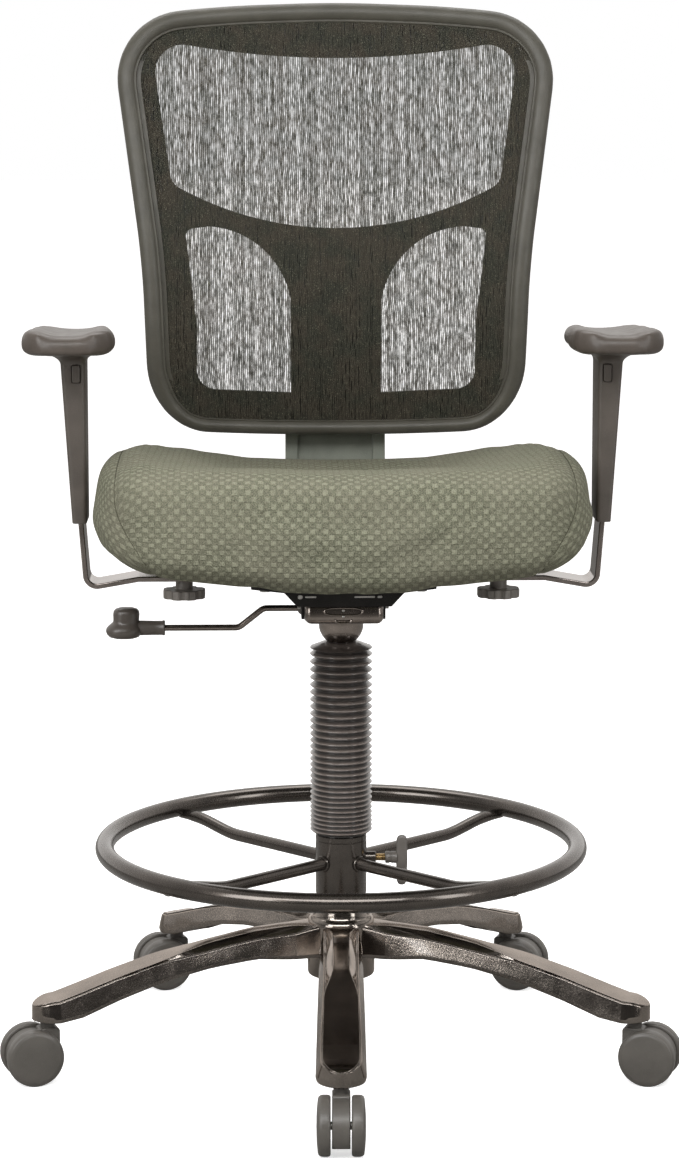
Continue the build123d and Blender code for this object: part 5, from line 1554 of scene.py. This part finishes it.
@dataclass
class SeatCushion(Upholstery):
    """Contoured cushion with a waterfall front, boxed sides and a seam between them."""

    voxel: float = 5.6
    seam_ends: Pair = (188.0, 230.0)
    seam_heights: Pair = (535.0, 628.0)
    seam_taper: float = 34.0
    seam_depth: float = 1.5
    seam_width: float = 3.2
    seam_hub: Triple = (0.0, -30.0, 590.0)
    seam_arc: Pair = (-62.0, 143.0)
    seam_points: int = 72
    seam_start: float = 225.0
    twine: float = 0.55
    front_round: float = 62.0
    front_bow: float = 36.0
    half_width: float = 228.0
    crown: float = 646.0
    rear: float = 0.0
    slack: float = 2.6
    lip_lift: float = 6.5
    lip_sag: float = 4.5
    front_crest: float = 8.0
    lip_draw: float = 5.0
    edge_draw: float = 2.5
    dish: float = 12.0
    top_shift: Sequence[Pair] = ((0, -1.5), (110, -1.5), (185, 0.5), (215, 5.0), (240, 7.0))
    lip_shift: Sequence[Pair] = ((0, 0.0), (60, 0.0), (100, 3.0), (140, 4.0), (215, 5.0))
    pan_share: float = 0.76
    pan_shift: float = 18.0

    def build(self) -> None:
        """Stuff the cushion, sew its side seams and lay out the weave."""
        piece = self.remeshed("seat_cushion", "seat_cushion_cover", SEAT_CLOTH, "seat", self.voxel)
        self.smoothed(piece, 6)
        low, high = corners("seat_cushion")
        self.rear = high.y
        self.moved(piece, lambda spot, normal: self.shaping(spot, normal, low, high))
        self.stuffed(piece, 4.0, 5.0)
        self.smoothed(piece, 2)
        self.moved(piece, self.settling)
        subdivide_live(piece, 1)
        applied(piece)
        piece.data.shade_smooth()
        self.moved(piece, self.seam_sink)
        self.lay_weave(piece, low)
        self.build_seams(piece)
        self.build_pan()

    def build_pan(self) -> None:
        """Make the pan, drawn in under the cushion so that its cover hides it from the front."""
        form = self.merged("seat_pan")
        centre = middle("seat_pan") * MM
        inset = Matrix.Translation(centre + REARWARDS * self.pan_shift * MM)
        inset = inset @ Matrix.Diagonal((self.pan_share, self.pan_share, 1, 1))
        inset = inset @ Matrix.Translation(-centre)
        bmesh.ops.transform(form, matrix=inset, verts=form.verts)
        piece = make_piece("seat_pan_shell", form, BLACK_NYLON, "seat", ("seat_pan",), scale=1.0)
        bevel_live(piece, 1.5)

    def shaping(self, spot: Vector, normal: Vector, low: Vector, high: Vector) -> Vector:
        """Return how a point moves to give the cushion its softer edges before it is stuffed.

        Args:
            spot: the point.
            normal: the skin's direction there.
            low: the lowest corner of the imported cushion.
            high: its highest corner.

        Returns:
            The move.
        """
        aside = abs(spot.x)
        ahead = -spot.y
        lift = self.lip_lift * ease(aside, 90, 235) * ease(ahead, -40, 220)
        lift *= 1 - ease(spot.z, low.z + 4, low.z + 62)
        sag = self.lip_sag * (1 - ease(aside, 15, 130)) * ease(ahead, 110, 200)
        sag *= 1 - ease(spot.z, low.z + 2, low.z + 40)
        crest = self.front_crest * (1 - ease(aside, 70, 200)) * ease(ahead, 75, 150)
        crest *= ease(spot.z, high.z - 75, high.z - 35)
        return UP * (lift - sag + crest) - normal * self.slack

    def settling(self, spot: Vector, normal: Vector) -> Vector:
        """Return how a point of the stuffed cushion sinks into the dish or draws in underneath.

        Args:
            spot: the point.
            normal: the skin's direction there.

        Returns:
            The move.
        """
        aside = abs(spot.x)
        upper = ease(spot.z, 585, 625)
        lower = 1 - ease(spot.z, 545, 592)
        rise = upper * along(aside, self.top_shift) + lower * along(aside, self.lip_shift)
        dish = (1 - ease(aside, 60, 185)) * ease(normal.z, 0.2, 0.8) * upper
        dish *= ease(spot.y, -150, -70) * (1 - 0.75 * ease(spot.y, 60, 190))
        draw = self.lip_draw * lower * ease(aside, 170, 222)
        draw -= self.edge_draw * upper * ease(aside, 190, 235)
        return Vector((-math.copysign(draw, spot.x), 0, rise - self.dish * dish))

    def seam_x(self, spot: Vector) -> float:
        """Return how far from the middle the side seam runs at a place."""
        at_front = between(*self.seam_ends, ease(spot.z, *self.seam_heights))
        return at_front - self.seam_taper * ease(spot.y, 40, 215)

    def seam_sink(self, spot: Vector, normal: Vector) -> Vector:
        """Return how deep the seam pulls the cover in at a place."""
        gap = (abs(spot.x) - self.seam_x(spot)) / self.seam_width
        return normal * (-self.seam_depth * math.exp(-gap * gap))

    def lay_weave(self, piece: bpy.types.Object, low: Vector) -> None:
        """Lay the cloth's own coordinates: over the front in one length, and along each side.

        Args:
            piece: the cover.
            low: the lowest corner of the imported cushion.
        """
        mesh = piece.data
        layer = mesh.uv_layers.new(name="weave")
        for face in mesh.polygons:
            centre = face.center / MM
            boxed = abs(centre.x) > self.seam_x(centre)
            for index in face.loop_indices:
                spot = mesh.vertices[mesh.loops[index].vertex_index].co / MM
                place = self.side_place(spot) if boxed else self.top_place(spot, low)
                layer.data[index].uv = (place[0] * MM, place[1] * MM)

    def top_place(self, spot: Vector, low: Vector) -> Pair:
        """Return a point's place on the panel that runs from under the front over the top.

        Args:
            spot: the point.
            low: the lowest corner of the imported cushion.

        Returns:
            Its place on the cloth.
        """
        bow = self.front_bow * (spot.x / self.half_width) ** 2
        bend_y = low.y + bow + self.front_round
        bend_z = self.crown - self.front_round
        forward = bend_y - spot.y
        if forward <= 0:
            fall = ease(spot.y, self.rear - 45, self.rear - 5) * (640.0 - spot.z)
            return (spot.x, self.front_round * math.pi / 2 - forward + fall)
        if spot.z < bend_z:
            return (spot.x, spot.z - bend_z)
        return (spot.x, self.front_round * math.atan2(spot.z - bend_z, forward))

    def side_place(self, spot: Vector) -> Pair:
        """Return a point's place on a side panel."""
        return (0.82 * spot.y + 3.0, spot.z + 0.4 * (self.seam_ends[1] - abs(spot.x)))

    def build_seams(self, piece: bpy.types.Object) -> None:
        """Sew a twine into each side seam, from under the front to the back.

        Args:
            piece: the cover.
        """
        skin = Surface(piece)
        for side in Side:
            path = self.seam_path(skin, side)
            out = ASIDE * side.value
            rings = []
            for index, point in enumerate(path):
                ahead = path[min(index + 1, len(path) - 1)] - path[max(index - 1, 0)]
                over = ahead.cross(out).normalized()
                rings.append(oval(point, out, over, (self.twine, self.twine)))
            name = f"seat_seam_{side.name.lower()}"
            make_piece(name, lofted(rings), SEAM_TWINE, "seat", crease=180)

    def seam_path(self, skin: Surface, side: Side) -> list[Vector]:
        """Find a side seam on the cover with rays that fan out from the cushion's inside.

        Args:
            skin: the cover's skin.
            side: the side of the seam.

        Returns:
            The points along the seam.
        """
        path = []
        for step in range(self.seam_points):
            angle = math.radians(between(*self.seam_arc, step / (self.seam_points - 1)))
            towards = Vector((0, -math.cos(angle), math.sin(angle)))
            start = Vector(self.seam_hub)
            start.x = side.value * self.seam_start
            for _ in range(4):
                found = skin.hit(start, towards)
                start.x = side.value * self.seam_x(found)
            path.append(found)
        return path


@dataclass
class ArmPads(Upholstery):
    """Moulded pads with raised edges, rounded ends and a soft crown."""

    voxel: float = 2.8
    inner_taper: float = 8.0
    crown_rise: float = 1.6
    edge_rise: float = 3.4

    def build(self) -> None:
        """Make both pads alike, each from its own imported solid."""
        for side in Side:
            name = side.name.lower()
            piece = self.remeshed(
                f"arm_{name}_pad", f"arm_{name}_pad_skin", PAD_SKIN, f"arm_{name}_rest", self.voxel
            )
            self.smoothed(piece, 10)
            low, high = corners(f"arm_{name}_pad")
            self.moved(piece, lambda spot, normal: self.shaping(spot, normal, low, high, side))
            self.stuffed(piece, 2.0, 1.5)
            self.smoothed(piece, 3)
            subdivide_live(piece, 1)
            applied(piece)
            piece.data.shade_smooth()

    def shaping(
        self, spot: Vector, normal: Vector, low: Vector, high: Vector, side: Side
    ) -> Vector:
        """Return how a point moves to taper the inner edge towards the back and raise the rims.

        Args:
            spot: the point.
            normal: the skin's direction there.
            low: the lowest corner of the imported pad.
            high: its highest corner.
            side: the side the pad is on.

        Returns:
            The move.
        """
        centre = (low + high) / 2
        inner = 1 - ease(abs(spot.x), abs(centre.x) - 45, abs(centre.x) + 10)
        taper = self.inner_taper * inner * ease(spot.y, -60, 90)
        rise = self.crown_rise + self.edge_rise * ease(abs(spot.x - centre.x), 10, 34)
        rise *= ease(spot.z, centre.z, high.z)
        return Vector((side.value * taper, 0, rise)) + normal * 0.5


# ---------------------------------------------------------------------------
# Back
# ---------------------------------------------------------------------------
@dataclass
class BackRest(Assembly):
    """Rounded rim round a stretched net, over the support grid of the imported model."""

    half_top: float = 249.0
    half_waist: float = 213.0
    half_bottom: float = 206.5
    waist: float = 838.0
    top: float = 1121.0
    top_corner: float = 1103.0
    bottom: float = 644.0
    bottom_corner: float = 653.0
    round_top: float = 72.0
    round_bottom: float = 76.0
    rim: float = 21.0
    rim_bottom: float = 16.5
    middle_z: float = 880.0
    soft_corner: float = 40.0
    net_skin: float = 0.5
    net_tuck: float = 1.2
    net_inset: float = 0.985
    net_step: float = 12.0
    net_columns: tuple[float, int] = (-240.0, 41)
    net_rows: tuple[float, int] = (650.0, 40)
    section: Sequence[Pair] = (
        (0.0, 10.0), (0.5, 6.8), (2.0, 4.0), (4.4, 2.0), (7.4, 0.7), (10.4, 0.1), (13.0, 0.4),
        (15.6, 1.7), (17.6, 3.2), (18.2, 4.1), (18.7, 4.0), (19.2, 3.4), (20.0, 3.3), (20.7, 3.9),
        (21.0, 5.0), (21.0, 8.9), (25.5, 9.2), (25.5, 13.2), (21.0, 15.0), (17.0, 20.0),
        (14.0, 22.0), (6.0, 22.0), (1.8, 19.0), (0.3, 14.0),
    )

    def build(self) -> None:
        """Make the rim and the net, and soften the parts behind them."""
        ring = resampled(self.outline(), 260)
        self.build_rim(ring)
        self.build_net(ring)
        self.softened("back_bar_cover", COVER_NYLON, "seat", 1.4, 3)
        self.softened("back_carriage", BLACK_NYLON, "back_rest", 1.0)

    def outline(self) -> list[Vector]:
        """Draw the back's outline in the XZ plane and round its corners one by one.

        Returns:
            The points in order round it.
        """
        bow_top = self.top - self.top_corner
        bow_bottom = self.bottom_corner - self.bottom
        right = [
            (self.half_bottom / 2, self.bottom_corner - 0.75 * bow_bottom),
            (self.half_bottom, self.bottom_corner),
            (self.half_waist, self.waist),
            (self.half_top, self.top_corner),
            (self.half_top / 2, self.top_corner + 0.75 * bow_top),
        ]
        left = [(-x, z) for x, z in reversed(right)]
        points = [(0.0, self.bottom)] + right + [(0.0, self.top)] + left
        form = bmesh.new()
        verts = [form.verts.new((x, 0, z)) for x, z in points]
        form.faces.new(verts)
        cuts = (
            ((1, 11), self.soft_corner), ((2, 10), 0.97 * self.round_bottom),
            ((3, 9), self.soft_corner), ((4, 8), 1.07 * self.round_top),
            ((5, 7), self.soft_corner), ((0, 6), self.soft_corner),
        )
        for places, cut in cuts:
            bmesh.ops.bevel(
                form, geom=[verts[place] for place in places], offset=cut, offset_type="OFFSET",
                segments=12, profile=0.5, affect="VERTICES", material=-1,
            )
        form.faces.ensure_lookup_table()
        ring = [vert.co.copy() for vert in form.faces[0].verts]
        form.free()
        return ring

    def inwards(self, ring: Sequence[Vector], index: int) -> Vector:
        """Return the direction from a point of the outline towards the inside."""
        ahead = ring[(index + 1) % len(ring)] - ring[index - 1]
        side = Vector((-ahead.z, 0, ahead.x)).normalized()
        return side if side.dot(UP * self.middle_z - ring[index]) > 0 else -side

    def width(self, inward: Vector) -> float:
        """Return how wide the rim is where the inside lies in this direction."""
        return self.rim - (self.rim - self.rim_bottom) * ease(inward.z, 0.3, 0.95)

    def build_rim(self, ring: Sequence[Vector]) -> None:
        """Sweep the rim's rounded section, with the bead that holds the net, round the outline.

        Args:
            ring: the outline.
        """
        front = Surface(self.nodes["back_frame"])
        rings = []
        for index, point in enumerate(ring):
            inward = self.inwards(ring, index)
            share = self.width(inward) / self.rim
            centre = point + inward * 9
            face = front.hit(Vector((centre.x, -FAR, centre.z)), REARWARDS).y
            rings.append([
                point + inward * run * share + REARWARDS * (face + rise)
                for run, rise in self.section
            ])
        rim = lofted(rings, closed=True)
        make_piece("back_rim", rim, FRAME_NYLON, "back_rest", ("back_frame",), 50)

    def build_net(self, ring: Sequence[Vector]) -> None:
        """Stretch the net over the opening, with its edge under the rim's bead.

        Args:
            ring: the back's outline.
        """
        skin = Surface(self.nodes["back_mesh"])
        form = bmesh.new()
        edge = []
        for index, point in enumerate(ring):
            inward = self.inwards(ring, index)
            edge.append(form.verts.new(point + inward * (self.width(inward) - self.net_tuck)))
        form.faces.new(edge)
        for normal, (start, count) in ((ASIDE, self.net_columns), (UP, self.net_rows)):
            for step in range(count):
                bmesh.ops.bisect_plane(
                    form, geom=form.verts[:] + form.edges[:] + form.faces[:],
                    plane_co=normal * (start + self.net_step * step), plane_no=normal,
                )
        area = sum(face.calc_area() for face in form.faces)
        for vert in form.verts:
            height = between(self.middle_z, vert.co.z, self.net_inset)
            start = Vector((vert.co.x * self.net_inset, -FAR, height))
            vert.co.y = skin.hit(start, REARWARDS).y - self.net_skin
        bmesh.ops.recalc_face_normals(form, faces=form.faces)
        curved = sum(face.calc_area() for face in form.faces)
        bmesh.ops.solidify(form, geom=form.faces[:], thickness=self.net_skin)
        bmesh.ops.recalc_face_normals(form, faces=form.faces)
        net = make_piece("back_net", form, NET, "back_rest", ("back_mesh",), crease=60)


def resampled(ring: Sequence[Vector], count: int) -> list[Vector]:
    """Space points evenly round a closed ring.

    Args:
        ring: the ring's own points in order.
        count: how many points to space.

    Returns:
        The new points in order.
    """
    points = list(ring) + [ring[0]]
    lengths = [(after - before).length for before, after in zip(points, points[1:])]
    step = sum(lengths) / count
    result = []
    index = 0
    walked = 0.0
    for number in range(count):
        goal = number * step
        while walked + lengths[index] < goal:
            walked += lengths[index]
            index += 1
        share = (goal - walked) / lengths[index]
        result.append(points[index].lerp(points[index + 1], share))
    return result


# ---------------------------------------------------------------------------
# Arms
# ---------------------------------------------------------------------------
@dataclass
class Armrest(Assembly):
    """Moulded sleeve with a flared neck on a polished bar, its button and its clamp knob."""

    side: Side = Side.LEFT
    sleeve_inner: float = 264.9
    width_low: float = 15.0
    width_high: float = 25.0
    depth_low: float = 58.0
    depth_high: float = 64.0
    centre_y: float = -15.0
    sleeve_bottom: float = 582.0
    sleeve_top: float = 746.0
    sleeve_steps: int = 8
    roundings: Pair = (4.0, 18.0)
    crease: float = 36.0
    bar_half: Pair = (2.75, 25.0)
    bar_lean: float = 4.3
    play: float = 0.35
    neck_half: Pair = (29.0, 55.0)
    neck_curve: float = 2.4
    pad_x: float = 280.0
    pad_z: float = 758.7
    pad_slope: float = 2.2

    def build(self) -> None:
        """Make the sleeve and soften the bar, the button and the knob."""
        name = self.side.name.lower()
        sleeve = lofted(self.sleeve_rings())
        piece = make_piece(
            f"arm_{name}_post", sleeve, SLEEVE_NYLON, f"arm_{name}_rest", (f"arm_{name}_sleeve",),
            crease=self.crease,
        )
        self.cut_out(piece, self.channel())
        self.cut_out(piece, self.pocket(name))
        bevel_live(piece, 0.8, 2, 40)
        self.softened(f"arm_{name}_bar", ARM_STEEL, f"arm_{name}_upright", 1.3, 3)
        self.softened(f"arm_{name}_height_button", SLEEVE_NYLON, f"arm_{name}_button", 0.8, 3)
        # The knob's nylon is painted lighter as light from below.
        self.softened(f"arm_{name}_width_knob", KNOB_NYLON_PAINTED_LIGHT, f"arm_{name}_clamp_knob", 1.2, 3)

    def sleeve_rings(self) -> list[list[Vector]]:
        """Stack the sleeve's rings: straight up to the neck, then flaring out under the pad.

        Returns:
            The rings from the bottom up.
        """
        across = ASIDE * self.side.value
        slope = math.tan(math.radians(self.pad_slope))
        rings = []
        for step in range(self.sleeve_steps + 1):
            share = step / self.sleeve_steps
            wide = between(self.width_low, self.width_high, share)
            deep = between(self.depth_low, self.depth_high, share)
            centre = across * (self.sleeve_inner + wide / 2) + REARWARDS * self.centre_y
            centre.z = between(self.sleeve_bottom, self.sleeve_top, share)
            half = (wide / 2, deep / 2)
            rings.append(rounded_ring(centre, across, REARWARDS, half, self.roundings[0]))
        low_x = self.sleeve_inner + self.width_high / 2
        for step in range(1, self.sleeve_steps + 1):
            share = step / self.sleeve_steps
            flare = share**self.neck_curve
            half = (
                between(self.width_high / 2, self.neck_half[0], flare),
                between(self.depth_high / 2, self.neck_half[1], flare),
            )
            centre = across * between(low_x, self.pad_x, flare) + REARWARDS * self.centre_y
            rise = share * 0.75 + 0.25 * share**0.7
            centre.z = between(self.sleeve_top, self.pad_z, rise)
            corner = between(*self.roundings, flare)
            ring = rounded_ring(centre, across, REARWARDS, half, corner)
            for point in ring:
                point.z -= point.y * slope * share
            rings.append(ring)
        if self.side is Side.RIGHT:
            rings = [list(reversed(ring)) for ring in rings]
        return rings

    def channel(self) -> bmesh.types.BMesh:
        """Shape the slot that the bar slides in, which leans as the bar does.

        Returns:
            The form to cut out.
        """
        low, high = corners(f"arm_{self.side.name.lower()}_bar")
        outer_x = max(abs(low.x), abs(high.x))
        lean = math.tan(math.radians(self.bar_lean))
        thick, deep = self.bar_half
        half = (thick + self.play, deep + self.play)
        rings = []
        for height in (self.sleeve_bottom - 6, high.z + 4):
            middle_x = self.side.value * (outer_x - thick - (high.z - height) * lean)
            centre = Vector((middle_x, self.centre_y, height))
            rings.append(rounded_ring(centre, ASIDE, REARWARDS, half, 0.5, 2))
        return lofted(rings)

    def pocket(self, name: str) -> bmesh.types.BMesh:
        """Shape the pocket that the height button moves in.

        Args:
            name: the armrest's side in the names of its nodes.

        Returns:
            The form to cut out.
        """
        low, high = corners(f"arm_{name}_height_button")
        centre = (low + high) / 2
        half = ((high.x - low.x) / 2 + self.play, (high.z - low.z) / 2 + self.play)
        return lofted([
            rounded_ring(Vector((centre.x, depth, centre.z)), ASIDE, UP, half, 2.2)
            for depth in (low.y - 4, high.y + 3)
        ])

    def cut_out(self, piece: bpy.types.Object, tool: bmesh.types.BMesh) -> None:
        """Cut a form out of a piece; the form is freed.

        Args:
            piece: the piece to cut.
            tool: the form to cut out of it.
        """
        bmesh.ops.scale(tool, vec=(MM, MM, MM), verts=tool.verts)
        mesh = bpy.data.meshes.new("cutter")
        tool.to_mesh(mesh)
        tool.free()
        cutter = bpy.data.objects.new("cutter", mesh)
        bpy.context.scene.collection.objects.link(cutter)
        cut = piece.modifiers.new("cut", "BOOLEAN")
        cut.operation = "DIFFERENCE"
        cut.solver = "EXACT"
        cut.object = cutter
        applied(piece)
        bpy.data.objects.remove(cutter)
        piece.data.set_sharp_from_angle(angle=math.radians(self.crease))


# ---------------------------------------------------------------------------
# Studio
# ---------------------------------------------------------------------------
@dataclass
class Studio:
    """White studio with large soft lights, and the camera that looks at the chair's front."""

    lens: float = 101.41
    place: Triple = (-0.0908, -3.3988, 1.047)
    towards: Triple = (0.0259, 0.9877, -0.1542)
    aim: Triple = (0.0, 0.0, 0.55)
    lamps: Sequence[tuple[str, Triple, Pair, float]] = (
        ("key", (-2.3, -2.4, 1.9), (1.5, 2.2), 72.0),
        ("fill", (2.6, -2.2, 1.5), (0.9, 2.0), 34.0),
        ("bank", (0.0, -3.0, 2.7), (3.4, 1.2), 95.0),
        ("over", (0.0, 1.1, 3.0), (2.6, 1.4), 40.0),
    )
    floor_glow: float = 0.62
    floor_half: float = 28.0

    def build(self) -> None:
        """Set the camera, the lights, the floor and the surroundings."""
        scene = bpy.context.scene
        scene.view_settings.view_transform = "Standard"
        data = bpy.data.cameras.new("camera")
        data.lens = self.lens
        data.sensor_width = 36.0
        data.clip_end = 60
        camera = bpy.data.objects.new("camera", data)
        camera.location = self.place
        camera.rotation_euler = Vector(self.towards).to_track_quat("-Z", "Y").to_euler()
        scene.collection.objects.link(camera)
        scene.camera = camera
        for lamp in self.lamps:
            self.light(*lamp)
        self.surroundings()
        self.floor()

    def light(self, name: str, place: Triple, size: Pair, power: float) -> None:
        """Hang a soft light that is aimed at the chair.

        Args:
            name: the light's name.
            place: where it hangs.
            size: its width and height.
            power: its power in watts.
        """
        data = bpy.data.lights.new(name, "AREA")
        data.shape = "RECTANGLE"
        data.size, data.size_y = size
        data.energy = power
        lamp = bpy.data.objects.new(name, data)
        lamp.location = place
        sight = Vector(self.aim) - Vector(place)
        lamp.rotation_euler = sight.to_track_quat("-Z", "Y").to_euler()
        bpy.context.scene.collection.objects.link(lamp)

    def surroundings(self) -> None:
        """Make the backdrop white, and light the chair by it more from behind than from before."""
        world = bpy.data.worlds.new("studio")
        world.use_nodes = True
        nodes = world.node_tree.nodes
        links = world.node_tree.links
        output = nodes["World Output"]
        seen = nodes["Background"]
        seen.inputs["Color"].default_value = (1, 1, 1, 1)
        lighting = nodes.new("ShaderNodeBackground")
        lighting.inputs["Color"].default_value = (1.0, 0.975, 0.95, 1)
        split = nodes.new("ShaderNodeSeparateXYZ")
        links.new(nodes.new("ShaderNodeTexCoord").outputs["Generated"], split.inputs[0])
        depth = nodes.new("ShaderNodeMapRange")
        ends = {"From Min": -0.6, "From Max": 0.5, "To Min": 0.08, "To Max": 1.0}
        for name, value in ends.items():
            depth.inputs[name].default_value = value
        links.new(split.outputs["Y"], depth.inputs["Value"])
        links.new(depth.outputs[0], lighting.inputs["Strength"])
        rays = nodes.new("ShaderNodeLightPath")
        choice = nodes.new("ShaderNodeMixShader")
        links.new(rays.outputs["Is Camera Ray"], choice.inputs[0])
        links.new(lighting.outputs[0], choice.inputs[1])
        links.new(seen.outputs[0], choice.inputs[2])
        links.new(choice.outputs[0], output.inputs["Surface"])
        bpy.context.scene.world = world

    def floor(self) -> None:
        """Lay a white floor under the casters that throws little light back up at the chair."""
        form = bmesh.new()
        bmesh.ops.create_grid(form, x_segments=1, y_segments=1, size=self.floor_half)
        mesh = bpy.data.meshes.new("studio_floor")
        form.to_mesh(mesh)
        form.free()
        shading = Shading("pale_floor")
        pale = shading.shader
        pale.inputs["Base Color"].default_value = (0.86, 0.86, 0.86, 1)
        pale.inputs["Roughness"].default_value = 0.8
        pale.inputs["Emission Color"].default_value = (1, 1, 1, 1)
        pale.inputs["Emission Strength"].default_value = self.floor_glow
        dim = shading.node("BsdfDiffuse", {"Color": (0.30, 0.295, 0.285, 1)}).outputs[0]
        seen = shading.node("LightPath", {}).outputs["Is Camera Ray"]
        both = shading.node("MixShader", {0: seen, 1: dim, 2: pale.outputs[0]}).outputs[0]
        shading.feed(shading.nodes["Material Output"].inputs["Surface"], both)
        mesh.materials.append(shading.material)
        plane = bpy.data.objects.new("studio_floor", mesh)
        bpy.context.scene.collection.objects.link(plane)


def finish_packed_nodes(frame: dict) -> None:
    """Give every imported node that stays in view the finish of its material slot.

    Args:
        frame: the loaded frame.
    """
    for part in frame["record"]["subparts"]:
        node = frame["nodes"][part["node"]]
        finish = FINISH_OF_NODE.get(part["node"], FINISH_OF_SLOT[part["material_slot"]])
        for place in node.material_slots:
            place.link = "OBJECT"
            place.material = finish.material()


def main() -> None:
    """Make the chair's pieces in order, light them and report."""
    logging.basicConfig(level=logging.INFO, format="%(name)s: %(message)s")
    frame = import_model()
    nodes = frame["nodes"]
    finish_packed_nodes(frame)
    base = StarBase(nodes)
    base.build()
    CasterSet(nodes, frame["joints"]).build()
    Bellows(nodes).build()
    FootRing(nodes, turn=base.turn()).build()
    TiltMechanism(nodes).build()
    HeightLever(nodes).build()
    SeatCushion(nodes).build()
    ArmPads(nodes).build()
    BackRest(nodes).build()
    for side in Side:
        Armrest(nodes, side=side).build()
    Studio().build()


if __name__ == "__main__":
    main()
